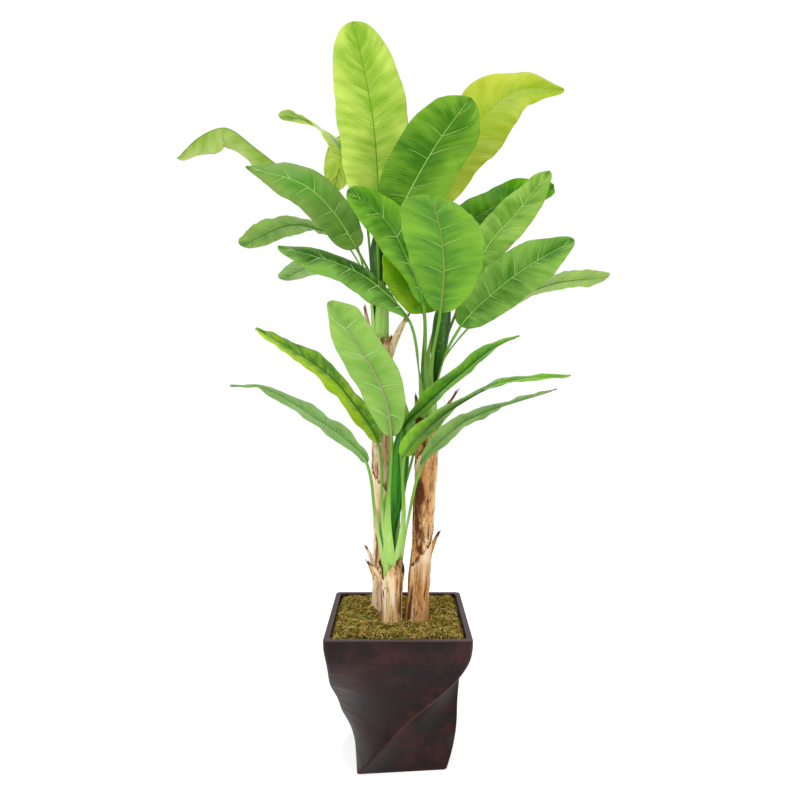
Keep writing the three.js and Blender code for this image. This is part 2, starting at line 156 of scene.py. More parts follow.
FLAPS = (
    Flap("tall", 530, 180, 96, 16, 26),
    Flap("tall", 508, 200, 76, 19, 20),
    Flap("tall", 1230, -25, 177, 23, 40),
    Flap("tall", 1240, 180, 170, 6, 34),
    Flap("middle", 606, -8, 92, 17, 34, 0, 0.7),
    Flap("middle", 985, 0, 157, 22, 30),
    Flap("middle", 990, 185, 130, 1, 30),
    Flap("short", 520, -60, 95, 3, 34),
    Flap("short", 500, 15, 62, 5, 36, 0, 0.3),
    Flap("short", 518, 186, 92, 26, 34),
    Flap("short", 530, 140, 74, 7, 34),
    Flap("short", 530, 95, 66, 8, 36),
    Flap("short", 522, 286, 94, 3, 36, -10, 0.3),
    Flap("tall", 1215, 100, 110, 8, 40),
    Flap("tall", 1210, 250, 92, 4, 34),
    Flap("middle", 960, 95, 110, 8, 36),
    Flap("middle", 965, 270, 84, 2, 30),
)


class Leaf(NamedTuple):
    """One leaf. Its spine is its midrib, from collar to tip, each place as right, back and up from the
    stem's top.
    """

    name: str
    ring: str
    turn: float  # side of the stem on which its foot stands, in degrees
    width: float
    face: tuple  # the way that its upper side looks
    spine: tuple
    deep: str  # tone beside the midrib
    bright: str  # tone towards the margin
    rib: str  # tone of the midrib
    vein: str  # tone of the side ribs
    cup: float = 0.1  # how far the blade is hollow, below zero humped
    widest: float = 0.5  # where along the blade it is widest
    tip_face: tuple = None  # the way that the upper side looks at the tip, where it differs
    wave: float = 5.0  # height of the waves at the margin
    bumps: tuple = ()  # outline bumps: place along the blade, side, height, spread
    edge: str = "3c781e"  # tone of the line beside each side rib: painted shade where it is dark, a painted highlight where it is pale
    point: float = 0.0  # how far the tip is drawn to a point, from 0 to 1
    root: float = 0.0  # how far the blade narrows towards the collar, from 0 to 1
    ribs: tuple = ()  # where the side ribs start, for the sides of negative and positive share
    skew: float = 0.0  # how much steeper the veins run on the side of positive share
    side_tone: float = 0.0  # painted shade: how much brighter the side of positive share is painted, as on a blade folded along its midrib with one half turned from the light
    fold: tuple = (0, 0)  # degrees by which the sides of negative and positive share fold back
    gloss: float = 0.16  # strength of its sheen
    turned: float = 1.0  # share of the blade by which its upper side looks the tip's way


# Each leaf's two greens were scaled to match how bright the leaf looks where it stands, so they hold some
# painted light and shade as well as its own colour; the yellow-green of the upright leaf is painted light
# coming through it from behind
LEAVES = (
    Leaf(
        "tall_leaf_upright", "inner", 262, 238, (0.1, -1, 0.1),
        ((-8, -50, 340), (-8, -5, 510), (-30, 5, 765), (-87, -40, 1030)),
        cup=0.12, widest=0.55, deep="7fab27", bright="c3dc60", rib="55821e", vein="6e9628", wave=3,
        ribs=((0.16, 0.36, 0.556, 0.713, 0.866), (0.14, 0.34, 0.53, 0.69, 0.875)), edge="c8e66e",
    ),
    Leaf(
        "tall_leaf_far_left", "outer", 195, 150, (0, -0.35, 0.93),
        (
            (-115, -20, 390), (-295, -20, 538), (-410, -25, 628), (-500, -35, 688), (-580, -50, 655),
            (-650, -65, 580),
        ),
        cup=-0.4, deep="759a2a", bright="a4b866", rib="789646", vein="8cac50", edge="96b450", point=0.2,
        fold=(35, 45), bumps=((0.58, 1, -34, 0.1), (0.82, 1, 24, 0.08), (0.8, -1, 8, 0.1)),
    ),
    Leaf(
        "tall_leaf_left", "outer", 255, 150, (0.2, -0.9, 0.4),
        ((-75, -70, 290), (-150, -95, 405), (-240, -120, 480), (-410, -150, 525)),
        cup=-0.2, widest=0.45, deep="4d8a1e", bright="789944", rib="91b955", vein="afcd78", wave=4,
        edge="3c6e1e", point=0.6,
    ),
    Leaf(
        "tall_leaf_back_left", "outer", 135, 125, (0, 0.4, 0.9),
        ((-125, 120, 345), (-240, 190, 415), (-365, 300, 447), (-565, 440, 400)),
        widest=0.66, deep="43740c", bright="87af3e", rib="3c6e14", vein="50821e",
        bumps=((0.62, 1, 9, 0.07), (0.9, 1, -8, 0.04), (0.5, -1, 7, 0.06)),
    ),
    Leaf(
        "tall_leaf_back_left_high", "inner", 165, 165, (0, 0, 1),
        ((-60, 95, 470), (-150, 190, 705), (-290, 260, 830), (-385, 290, 850)),
        widest=0.6, deep="699708", bright="c7dd4e", rib="467819", vein="5a8c28",
        bumps=((0.9, -1, 10, 0.1), (0.35, -1, 14, 0.15)),
    ),
    Leaf(
        "tall_leaf_back", "inner", 105, 150, (0, 0.5, 1),
        ((20, 140, 470), (-55, 280, 720), (-148, 370, 745), (-192, 400, 610)),
        widest=0.6, deep="a7c52e", bright="dced75", rib="738c3c", vein="8ca03c",
    ),
    Leaf(
        "tall_leaf_front", "inner", -75, 216, (0.2, -1, 0.2),
        ((40, -60, 345), (82, -90, 440), (176, -140, 595), (278, -170, 728)),
        cup=0.12, deep="366f05", bright="78a82c", rib="96c35f", vein="a0be64",
        ribs=((0.12, 0.31, 0.56, 0.7, 0.87), (0.12, 0.25, 0.53, 0.7)), edge="2d5f0a", skew=-0.6,
        bumps=((0.7, 1, 4, 0.08), (0.97, 1, -14, 0.05), (0.8, -1, 14, 0.1)),
    ),
    Leaf(
        "tall_leaf_right_high", "outer", -45, 225, (-0.4, -1, 0.3),
        ((100, 30, 390), (218, 45, 572), (372, 50, 786), (477, 40, 845), (612, 20, 836)),
        widest=0.4, deep="8caa19", bright="b5c134", rib="82a046", vein="829b32", wave=6,
        edge="bed24b", point=0.6,
        bumps=(
            (0.67, 1, 27, 0.06), (0.85, 1, 6, 0.1), (0.5, -1, 20, 0.12), (0.36, -1, -8, 0.06),
            (0.69, -1, 17, 0.06), (0.86, -1, 20, 0.08),
        ),
    ),
    Leaf(
        "tall_leaf_back_right", "outer", 12, 170, (-0.2, -0.9, 0.5),
        ((150, 50, 290), (310, 110, 420), (475, 170, 520), (625, 220, 570)),
        widest=0.45, deep="1a6300", bright="6db010", rib="82aa50", vein="96be64", wave=7, edge="285008",
        gloss=0.1,
    ),
    Leaf(
        "tall_leaf_back_left_low", "outer", 75, 130, (0, 0.3, 1),
        ((-55, 100, 180), (-190, 220, 300), (-390, 350, 255)),
        widest=0.65, deep="538620", bright="91b563", rib="466e28", vein="5a8232",
    ),
    Leaf(
        "middle_leaf_front", "outer", 280, 228, (0.35, 1, 0.5),
        ((35, -65, 330), (38, -185, 435), (20, -325, 515), (-15, -515, 555)),
        cup=0.12, widest=0.55, deep="3a8105", bright="7bb421", rib="869646", vein="aac864", wave=3,
        ribs=((0.083, 0.295, 0.495, 0.72), (0.083, 0.31, 0.51, 0.65, 0.84)), edge="41781e", skew=0.15,
    ),
    Leaf(
        "middle_leaf_left_high", "inner", 250, 165, (0.2, -1, 0.5),
        ((-15, -15, 360), (-75, -30, 520), (-130, -55, 610), (-245, -100, 692)),
        cup=0.12, deep="346f05", bright="77b12b", rib="78a541", vein="aac873", edge="2d5f0a",
        bumps=((0.22, 1, -36, 0.22),),
    ),
    Leaf(
        "middle_leaf_left_low", "outer", 220, 142, (0, -0.85, 0.5),
        ((-60, -85, 303), (-150, -105, 400), (-250, -120, 460), (-445, -145, 515)),
        cup=0, widest=0.4, deep="1d5005", bright="79aa45", rib="78aa3c", vein="b9d28c", wave=4,
        edge="285a14", point=0.25, root=0.75, side_tone=0.35, gloss=0.1, fold=(30, 0),
        bumps=((0.5, 1, -8, 0.3), (0.25, -1, -20, 0.22), (0.85, -1, 14, 0.1), (0.2, -1, -18, 0.25)),
    ),
    Leaf(
        "middle_leaf_right_high", "inner", 10, 132, (-0.4, -1, 0.2),
        ((110, 15, 385), (192, 25, 550), (288, 50, 662), (398, 75, 804)),
        cup=0.12, deep="4c801c", bright="8fb745", rib="96be5a", vein="afd273", edge="508223", point=0.2,
    ),
    Leaf(
        "middle_leaf_right", "outer", 340, 158, (-0.2, -1, 0.3),
        ((100, -35, 290), (180, -50, 375), (295, -65, 465), (435, -90, 545)),
        cup=0.12, deep="38720e", bright="84b049", rib="8cb95a", vein="a5c878", edge="376914", point=0.4,
    ),
    Leaf(
        "middle_leaf_back_right", "outer", 40, 150, (0, 0.45, 0.9),
        ((190, 85, 345), (365, 205, 430), (490, 295, 475), (705, 425, 512)),
        widest=0.45, deep="698b16", bright="8bb432", rib="46781e", vein="91af50", wave=3.5, edge="96b45a",
        bumps=((0.52, -1, 9, 0.08), (0.95, -1, -4, 0.08), (0.95, 1, 28, 0.08), (0.38, 1, 15, 0.05)),
    ),
    Leaf(
        "middle_leaf_back_left", "inner", 130, 168, (0.3, -1, 0.4),
        ((-12, 20, 335), (-62, 20, 440), (-95, 15, 600)),
        widest=0.35, deep="5a9b05", bright="9bc31e", rib="5a8c1e", vein="82aa3c",
        bumps=((0.2, 1, -18, 0.2),),
    ),
    Leaf(
        "middle_leaf_back", "outer", 100, 170, (0, -0.5, 1),
        ((45, 135, 390), (45, 265, 600), (-10, 445, 660)),
        deep="417a1e", bright="78a848", rib="78aa50", vein="96be6e",
    ),
    Leaf(
        "short_leaf_front", "outer", 257, 132, (0, 1, 0.2),
        ((0, -75, 410), (-25, -115, 545), (-83, -165, 660), (-172, -225, 796)),
        cup=0.12, deep="639a28", bright="93bc53", rib="969b6e", vein="bed7a0", wave=3,
        ribs=((0.12, 0.33, 0.57, 0.79), (0.15, 0.35, 0.58, 0.8)), edge="5f9632", point=0.5,
        bumps=((0.88, 1, 24, 0.09), (0.84, -1, 4, 0.08)), skew=-0.6,
    ),
    Leaf(
        "short_leaf_left", "inner", 228, 92, (0.1, 0.4, 0.9),
        ((-40, -30, 385), (-105, -42, 495), (-200, -55, 605), (-405, -80, 735)),
        cup=0.3, widest=0.45, deep="3e7a00", bright="a8ce0c", rib="507d1e", vein="a0c378", wave=6,
        edge="96b450", side_tone=-0.5, gloss=0.12, fold=(30, 0), bumps=((0.45, 1, -7, 0.25),),
    ),
    Leaf(
        "short_leaf_left_low", "outer", 200, 105, (0, 0.5, 0.85),
        (
            (-75, -65, 330), (-140, -90, 404), (-230, -125, 474), (-320, -160, 535), (-375, -180, 560),
            (-450, -205, 563),
        ),
        tip_face=(0, 0, 1), cup=0.2, widest=0.4, deep="578336", bright="7ea856", rib="78a55a",
        vein="7da05a", wave=6, root=0.4, gloss=0.12,
        bumps=((0.2, 1, -12, 0.15), (0.5, -1, 13, 0.1), (0.15, -1, 6, 0.1)),
    ),
    Leaf(
        "short_leaf_right_high", "inner", 342, 92, (0, 0.5, 0.85),
        ((35, -45, 425), (104, -65, 507), (214, -95, 607), (300, -128, 676), (370, -155, 705)),
        tip_face=(0, 0, 1), cup=0.2, deep="357e00", bright="8bca12", rib="2d640f", vein="4b7d23", wave=4,
        root=0.5, gloss=0.12,
    ),
    Leaf(
        "short_leaf_right", "outer", 314, 110, (0, 0.6, 0.8),
        ((40, -75, 350), (100, -95, 430), (188, -120, 502), (315, -145, 568), (510, -185, 592)),
        tip_face=(0, -0.2, 1), cup=0.2, widest=0.4, deep="397d02", bright="86bc20", rib="50782d",
        vein="648c3c", wave=4, gloss=0.12, root=0.15, turned=0.62,
    ),
    Leaf(
        "short_leaf_right_low", "outer", 350, 92, (0, 0.6, 0.8),
        ((90, -70, 320), (135, -105, 388), (230, -150, 470), (440, -305, 555)),
        tip_face=(0, -0.2, 1), cup=0.2, widest=0.45, deep="4c7c2e", bright="7a9f4a", rib="64873c",
        vein="78964b", gloss=0.12, root=0.6,
    ),
    Leaf(
        "short_leaf_back_right", "outer", 68, 130, (0, 0, 1),
        ((70, 150, 325), (95, 265, 435), (130, 425, 410)),
        deep="4b822a", bright="82ad50", rib="78a050", vein="8cb464",
    ),
    Leaf(
        "short_leaf_back_left", "outer", 120, 110, (0, -0.5, 1),
        ((35, 175, 370), (-10, 235, 525), (-90, 305, 705), (-150, 375, 800)),
        deep="4b822a", bright="82ad50", rib="78a050", vein="8cb464",
    ),
)


def paint(code):
    """A colour written as six hexadecimal digits, as linear red, green, blue and one."""
    values = [int(code[i:i + 2], 16) / 255 for i in (0, 2, 4)]
    linear = [v / 12.92 if v <= 0.04045 else ((v + 0.055) / 1.055) ** 2.4 for v in values]
    return (*linear, 1.0)


def unit(vectors):
    """Vectors brought to a length of one."""
    vectors = np.asarray(vectors, float)
    return vectors / np.linalg.norm(vectors, axis=-1, keepdims=True)


def smooth(low, high, value):
    """The smooth step from 0 at low to 1 at high."""
    t = np.clip((np.asarray(value, float) - low) / (high - low), 0, 1)
    return t * t * (3 - 2 * t)


def mix(a, b, share):
    """The value that lies a share of the way from a to b."""
    return a + (b - a) * share


def plan(turn):
    """The level direction at a turn in degrees from +X."""
    return np.array([math.cos(math.radians(turn)), math.sin(math.radians(turn)), 0.0])


def turn_gap(a, b):
    """How far one turn lies from another, from -180 to 180 degrees."""
    return (a - b + 180) % 360 - 180


def noisy(x, y=0.0, z=0.0):
    """Smooth noise from about -1 to 1."""
    return noise.noise(Vector((x, y, z))) * 1.6


# Node trees


def fill(tree, socket, value):
    """Links a socket to another node's output, or sets its own value."""
    if isinstance(value, bpy.types.NodeSocket):
        tree.links.new(value, socket)
    else:
        socket.default_value = value


def add_node(tree, kind, inputs=None, **settings):
    """Adds a node, sets its properties, and links or fills its inputs."""
    made = tree.nodes.new(kind)
    for key, value in settings.items():
        setattr(made, key, value)
    for key, value in (inputs or {}).items():
        fill(tree, made.inputs[key], value)
    return made


def result(tree, kind, inputs=None, **settings):
    """The first output of a new node."""
    return add_node(tree, kind, inputs, **settings).outputs[0]


def calc(tree, operation, a, b=0.0, c=0.0):
    """A Math node's result."""
    inputs = {0: a, 1: b, 2: c} if operation == "MULTIPLY_ADD" else {0: a, 1: b}
    return result(tree, "ShaderNodeMath", inputs, operation=operation)


def ramp(tree, value, low, high, to_low=0.0, to_high=1.0, steps="SMOOTHSTEP"):
    """A Map Range node's result."""
    inputs = {"Value": value, "From Min": low, "From Max": high, "To Min": to_low, "To Max": to_high}
    return result(tree, "ShaderNodeMapRange", inputs, interpolation_type=steps)


def blend(tree, share, a, b):
    """A colour Mix node's result."""
    return add_node(tree, "ShaderNodeMix", {0: share, 6: a, 7: b}, data_type="RGBA").outputs[2]


def axes(tree, value):
    """A vector's three numbers."""
    return add_node(tree, "ShaderNodeSeparateXYZ", {0: value}).outputs


def vector(tree, x=0.0, y=0.0, z=0.0):
    """A vector made of three numbers."""
    return result(tree, "ShaderNodeCombineXYZ", {0: x, 1: y, 2: z})


def vector_math(tree, operation, a, b):
    """A Vector Math node's result. To scale, b is a number."""
    inputs = {0: a, "Scale" if operation == "SCALE" else 1: b}
    return result(tree, "ShaderNodeVectorMath", inputs, operation=operation)


def named(tree, name, kind="FLOAT"):
    """A mesh attribute, read by a geometry tree."""
    return result(tree, "GeometryNodeInputNamedAttribute", {"Name": name}, data_type=kind)


def store(tree, geometry, name, value, domain="POINT"):
    """Geometry that carries a number under a name."""
    inputs = {"Geometry": geometry, "Name": name, "Value": value}
    return result(tree, "GeometryNodeStoreNamedAttribute", inputs, data_type="FLOAT", domain=domain)


def random_number(tree, low, high, seed):
    """A number between two limits, drawn for each point."""
    inputs = {2: low, 3: high, "Seed": seed}
    return add_node(tree, "FunctionNodeRandomValue", inputs, data_type="FLOAT").outputs[1]


def random_vector(tree, low, high, seed):
    """A vector between two limits, drawn for each point."""
    inputs = {0: low, 1: high, "Seed": seed}
    return result(tree, "FunctionNodeRandomValue", inputs, data_type="FLOAT_VECTOR")


def scatter(tree, mesh, density, seed):
    """Points on a mesh: its outputs are Points, Normal and Rotation."""
    inputs = {"Mesh": mesh, "Density": density, "Seed": seed}
    return add_node(tree, "GeometryNodeDistributePointsOnFaces", inputs).outputs


def place_copies(tree, points, shape, **inputs):
    """Copies of a shape on points, made real."""
    copies = result(tree, "GeometryNodeInstanceOnPoints", {"Points": points, "Instance": shape, **inputs})
    return result(tree, "GeometryNodeRealizeInstances", {"Geometry": copies})


def cover(tree, geometry, material, **inputs):
    """Geometry with a material on it."""
    return result(tree, "GeometryNodeSetMaterial", {"Geometry": geometry, "Material": material, **inputs})


def soften(tree, geometry):
    """Smooth shading for geometry."""
    return result(tree, "GeometryNodeSetShadeSmooth", {"Geometry": geometry})


def join(tree, *parts):
    """Several geometries as one. A socket's newest link comes first."""
    joined = tree.nodes.new("GeometryNodeJoinGeometry")
    for part in parts:
        tree.links.new(part, joined.inputs[0])
    return joined.outputs[0]


def sweep(tree, curve, radius, sides):
    """A tube along a curve, with the radius that a field gives it."""
    ring = result(tree, "GeometryNodeCurvePrimitiveCircle", {"Resolution": sides, "Radius": 1.0})
    inputs = {"Curve": curve, "Profile Curve": ring, "Scale": radius, "Fill Caps": True}
    return result(tree, "GeometryNodeCurveToMesh", inputs)


def new_group(name, inputs, outputs):
    """A shader node group. Each socket is a name, a type and, for an input, its default."""
    return open_tree(name, inputs, outputs, "ShaderNodeTree")


def new_geometry_tree(name, taken, inputs, made):
    """A geometry tree that takes and makes a geometry, with its inputs as new_group has them."""
    inputs = [(taken, "NodeSocketGeometry", None), *inputs]
    return open_tree(name, inputs, [(made, "NodeSocketGeometry")], "GeometryNodeTree")


def open_tree(name, inputs, outputs, kind):
    """Makes a node group, and gives its tree, what it takes and what it makes."""
    tree = bpy.data.node_groups.new(name, kind)
    for label, socket, default in inputs:
        made = tree.interface.new_socket(label, in_out="INPUT", socket_type=socket)
        if default is not None:
            made.default_value = default
    for label, socket in outputs:
        tree.interface.new_socket(label, in_out="OUTPUT", socket_type=socket)
    return tree, tree.nodes.new("NodeGroupInput").outputs, tree.nodes.new("NodeGroupOutput").inputs


def place_group(tree, name, **values):
    """Places a shader node group, with its inputs by name, and gives its outputs."""
    made = tree.nodes.new("ShaderNodeGroup")
    made.node_tree = bpy.data.node_groups[name]
    for key, value in values.items():
        fill(tree, made.inputs[key.replace("_", " ")], value)
    return made.outputs


def attribute(tree, name):
    """A mesh attribute, read by a shader."""
    return add_node(tree, "ShaderNodeAttribute", attribute_name=name).outputs["Fac"]


def object_places(tree, scale=(1, 1, 1)):
    """Object coordinates, scaled along each axis."""
    source = add_node(tree, "ShaderNodeTexCoord").outputs["Object"]
    return result(tree, "ShaderNodeMapping", {"Vector": source, "Scale": scale})


def speckle(tree, places, scale=1.0, detail=3.0, roughness=0.5):
    """A Noise Texture's value."""
    inputs = {"Vector": places, "Scale": scale, "Detail": detail, "Roughness": roughness}
    return result(tree, "ShaderNodeTexNoise", inputs)


def new_material(name, **constants):
    """An empty material: its tree and its shader, with the shader's constant sockets set."""
    material = bpy.data.materials.new(name)
    material.use_nodes = True
    tree = material.node_tree
    shader = tree.nodes["Principled BSDF"]
    for key, value in constants.items():
        shader.inputs[key.replace("_", " ")].default_value = value
    return material, tree, shader


def finish_material(tree, shader, color, height, distance, roughness):
    """Gives the shader its colour, its roughness and a relief."""
    bump = result(tree, "ShaderNodeBump", {"Height": height, "Distance": distance})
    for key, value in (("Base Color", color), ("Roughness", roughness), ("Normal", bump)):
        fill(tree, shader.inputs[key], value)


# Shader groups


def make_vein_group():
    """Leaf colour and relief from the veins that run from the midrib out to the margin."""
    tree, given, put = new_group(
        "Leaf Veins",
        [
            ("Deep", "NodeSocketColor", paint("5fa535")),
            ("Bright", "NodeSocketColor", paint("8cc850")),
            ("Vein Pitch", "NodeSocketFloat", 0.0075),
            ("Side Tone", "NodeSocketFloat", 0.0),
            ("Seed", "NodeSocketFloat", 0.0),
        ],
        [("Color", "NodeSocketColor"), ("Height", "NodeSocketFloat"), ("Roughness", "NodeSocketFloat")],
    )
    along = attribute(tree, "vein_way")
    across = attribute(tree, "half_share")
    out = calc(tree, "ABSOLUTE", across)
    wobble = calc(tree, "SUBTRACT", speckle(tree, object_places(tree), 22), 0.5)
    turns = calc(tree, "MULTIPLY_ADD", wobble, 0.9, calc(tree, "DIVIDE", along, given["Vein Pitch"]))
    fine = calc(tree, "SINE", calc(tree, "MULTIPLY", turns, math.tau))
    band_places = vector_math(tree, "MULTIPLY", vector(tree, along, across, given["Seed"]), (46, 1.1, 7.3))
    bands = speckle(tree, band_places, 1, 2.5)
    broad = speckle(tree, object_places(tree), 7, 2)
    # The share of the brighter tone: more towards the margin, in bands along the veins and in broad patches
    share = calc(tree, "MULTIPLY_ADD", calc(tree, "SUBTRACT", bands, 0.5), 1.4, 0.3)
    share = calc(tree, "ADD", share, ramp(tree, out, 0.1, 1.0, 0.0, 0.42))
    share = calc(tree, "MULTIPLY_ADD", calc(tree, "SUBTRACT", broad, 0.5), 1.7, share)
    share = calc(tree, "MULTIPLY_ADD", fine, 0.1, share)
    # Painted shade: one half of the blade is darkened against the other, as where a blade folds along its
    # midrib and one half turns from the light
    share = result(
        tree, "ShaderNodeMath", {0: across, 1: given["Side Tone"], 2: share}, operation="MULTIPLY_ADD",
        use_clamp=True,
    )
    color = blend(tree, share, given["Deep"], given["Bright"])
    color = blend(tree, ramp(tree, out, 0.0, 0.16, 0.28, 0.0), color, given["Deep"])
    pale = blend(tree, 0.35, color, paint("9bb978"))
    color = blend(tree, calc(tree, "MULTIPLY", attribute(tree, "under"), 0.3), color, pale)
    tree.links.new(color, put["Color"])
    fine = calc(tree, "MULTIPLY_ADD", fine, 0.275, 0.275)
    tree.links.new(calc(tree, "MULTIPLY_ADD", bands, 1.6, fine), put["Height"])
    tree.links.new(ramp(tree, bands, 0.3, 0.7, 0.36, 0.48), put["Roughness"])


def make_fibre_group():
    """Streaks that run up and down, cracks, dark patches and specks, as on dry bark, with painted shade in
    its creases and a painted highlight where it stands out.
    """
    tree, given, put = new_group(
        "Bark Fibres",
        [
            ("Ground", "NodeSocketColor", paint("b5854a")),
            ("Pale", "NodeSocketColor", paint("dcbe82")),
            ("Dark", "NodeSocketColor", paint("5a3219")),
            ("Patches", "NodeSocketFloat", 0.5),
            ("Seed", "NodeSocketFloat", 0.0),
        ],
        [("Color", "NodeSocketColor"), ("Height", "NodeSocketFloat")],
    )
    shift = vector(tree, *[given["Seed"]] * 3)

    def grain(scale, detail, roughness):
        places = vector_math(tree, "ADD", object_places(tree, scale), shift)
        return speckle(tree, places, 1, detail, roughness)

    fibres = grain((130, 130, 7), 4, 0.65)
    streaks = grain((34, 34, 4), 3, 0.55)
    patches = grain((26, 26, 7), 4, 0.65)
    specks = grain((150, 150, 90), 2, 0.5)
    hairs = grain((420, 420, 12), 3, 0.6)
    cracks = calc(tree, "ABSOLUTE", calc(tree, "SUBTRACT", grain((50, 50, 120), 3, 0.65), 0.5))
    cracks = calc(tree, "MULTIPLY_ADD", patches, -0.3, cracks)
    relief = attribute(tree, "relief")
    stain = attribute(tree, "stain")
    color = blend(tree, ramp(tree, streaks, 0.36, 0.66), given["Ground"], given["Pale"])
    color = blend(tree, ramp(tree, fibres, 0.5, 0.66, 0.0, 0.62), color, given["Dark"])
    color = blend(tree, ramp(tree, hairs, 0.56, 0.68, 0.0, 0.5), color, given["Dark"])
    # Painted shade where the bark lies deep in its creases, and a painted highlight where it stands out
    color = blend(tree, ramp(tree, relief, 0.42, 0.1, 0.0, 0.75), color, given["Dark"])
    color = blend(tree, ramp(tree, relief, 0.55, 1.0, 0.0, 0.35), color, given["Pale"])
    color = blend(tree, ramp(tree, cracks, -0.15, -0.2, 0.0, 0.7), color, given["Dark"])
    bleached = ramp(tree, streaks, 0.3, 0.55, 0.4, 1.0)
    bleached = calc(tree, "MULTIPLY", ramp(tree, stain, 0.0, -1.0), bleached)
    color = blend(tree, bleached, color, paint("fff0da"))
    # Dark patches: the more stained a place is, the lower the limit that the mottle has to pass
    limit = calc(tree, "SUBTRACT", 0.98, calc(tree, "MULTIPLY", given["Patches"], 0.36))
    limit = calc(tree, "SUBTRACT", limit, calc(tree, "MULTIPLY", stain, 0.8))
    mottle = calc(tree, "MULTIPLY_ADD", patches, 1.6, calc(tree, "MULTIPLY_ADD", fibres, 0.5, -0.37))
    over = calc(tree, "SUBTRACT", mottle, limit)
    color = blend(tree, ramp(tree, over, -0.06, 0.26, 0.0, 0.92), color, given["Dark"])
    clusters = calc(tree, "MULTIPLY_ADD", patches, 0.5, specks)
    clusters = calc(tree, "MULTIPLY_ADD", given["Patches"], 0.12, clusters)
    color = blend(tree, ramp(tree, clusters, 0.93, 1.03, 0.0, 0.7), color, given["Dark"])
    tree.links.new(color, put["Color"])
    tree.links.new(calc(tree, "MULTIPLY_ADD", hairs, 0.6, fibres), put["Height"])


def blade_material(leaf, seed):
    """Printed cloth in the leaf's own two greens."""
    material, tree, shader = new_material(f"{leaf.name}_blade", Specular_IOR_Level=leaf.gloss)
    # The leaf's painted shade on one half of its blade goes in with its two greens
    out = place_group(
        tree, "Leaf Veins", Deep=paint(leaf.deep), Bright=paint(leaf.bright), Seed=float(seed),
        Side_Tone=leaf.side_tone,
    )
    finish_material(tree, shader, out["Color"], out["Height"], 0.0005, out["Roughness"])
    return material


def rib_material(leaf):
    """The stalk is pale where it sheathes the stem, and takes the ribs' own tone on the blade."""
    material, tree, shader = new_material(f"{leaf.name}_rib", Specular_IOR_Level=0.2)
    reach = attribute(tree, "reach")
    streaks = speckle(tree, object_places(tree, (160, 160, 9)), 1, 3)
    stalk = blend(tree, ramp(tree, reach, 0.2, 0.7), paint("a0cd62"), paint("6ea032"))
    pale = ramp(tree, streaks, 0.45, 0.75, 0.0, 0.5)
    pale = calc(tree, "MULTIPLY", pale, ramp(tree, reach, 0.3, 0.6, 1.0, 0.15))
    stalk = blend(tree, pale, stalk, paint("d2e1af"))
    color = blend(tree, ramp(tree, reach, 0.96, 1.04), stalk, paint(leaf.rib))
    color = blend(tree, ramp(tree, reach, 2.4, 2.6), color, paint(leaf.vein))
    # Painted shading lines beside the side ribs: dark ones are painted shade, pale ones a painted highlight
    color = blend(tree, ramp(tree, reach, 3.4, 3.6), color, paint(leaf.edge))
    finish_material(tree, shader, color, streaks, 0.001, 0.5)
    return material


def bark_material(name, patches, seed, **tones):
    """Dry bark in the tones of its ground, its pale streaks and its dark patches."""
    material, tree, shader = new_material(name, Specular_IOR_Level=0.2)
    tones = {key.title(): paint(code) for key, code in tones.items()}
    out = place_group(tree, "Bark Fibres", Patches=patches, Seed=seed, **tones)
    finish_material(tree, shader, out["Color"], out["Height"], 0.0022, 0.85)
    return material


BARK_TONES = {
    "tall": dict(ground="e1b482", pale="ffe8c3", dark="82491f", patches=0.34, seed=2.0),
    "middle": dict(ground="b97837", pale="ebc38c", dark="50200c", patches=0.74, seed=7.0),
    "short": dict(ground="af7034", pale="fdd99c", dark="5f3014", patches=0.56, seed=11.0),
}
# Torn edges of the outer sheets: each runs from one turn and height to another, and its sheet lies below it
TORN = {
    "tall": ((195, 505, 330, 640), (150, 905, 300, 800)),
    "middle": ((212, 585, 350, 690), (190, 900, 290, 985)),
    "short": (),
}
# Notches in the torn top: turn, reach across in degrees, depth
NOTCHES = {"tall": (), "middle": (), "short": ((228, 34, 46), (345, 62, 34))}
# Stains: height above the ground, turn, reach up and down, reach across, strength. Below zero is bleached
STAINS = {
    "tall": (
        (1235, 280, 30, 30, 0.7), (900, 240, 120, 5, 0.6), (760, 290, 90, 4, 0.6), (620, 235, 60, 6, 0.6),
        (1060, 265, 80, 4, 0.5),
    ),
    "middle": (
        (822, 243, 34, 15, 1.1), (645, 262, 14, 8, 0.6), (470, 222, 60, 7, 0.6), (740, 230, 40, 4, 0.3),
        (905, 250, 50, 5, 0.5), (700, 300, 30, 4, 0.5), (520, 302, 40, 4, 0.5), (560, 235, 30, 5, 0.4),
        (625, 300, 45, 22, -0.5), (565, 285, 40, 12, -0.35),
    ),
    "short": (
        (490, 243, 80, 3.5, 0.75), (500, 322, 80, 6, 0.8), (450, 268, 30, 4, 0.6), (548, 300, 24, 4, 0.7),
        (560, 190, 30, 5, 0.6), (520, 192, 70, 3, 0.7), (500, 276, 45, 8, -0.8), (500, 222, 90, 13, -0.95),
        (555, 252, 36, 9, -0.8),
    ),
}


# Meshes


def new_piece(name, vertices, faces, material=None):
    """A smooth mesh object from places in millimetres."""
    mesh = bpy.data.meshes.new(name)
    mesh.from_pydata((np.asarray(vertices) * MM).tolist(), [], [tuple(map(int, face)) for face in faces])
    mesh.shade_smooth()
    piece = bpy.data.objects.new(name, mesh)
    bpy.context.scene.collection.objects.link(piece)
    if material:
        mesh.materials.append(material)
    return piece


def set_values(mesh, name, values):
    """Stores a number at each vertex."""
    mesh.attributes.new(name, "FLOAT", "POINT").data.foreach_set("value", np.asarray(values, np.float32))


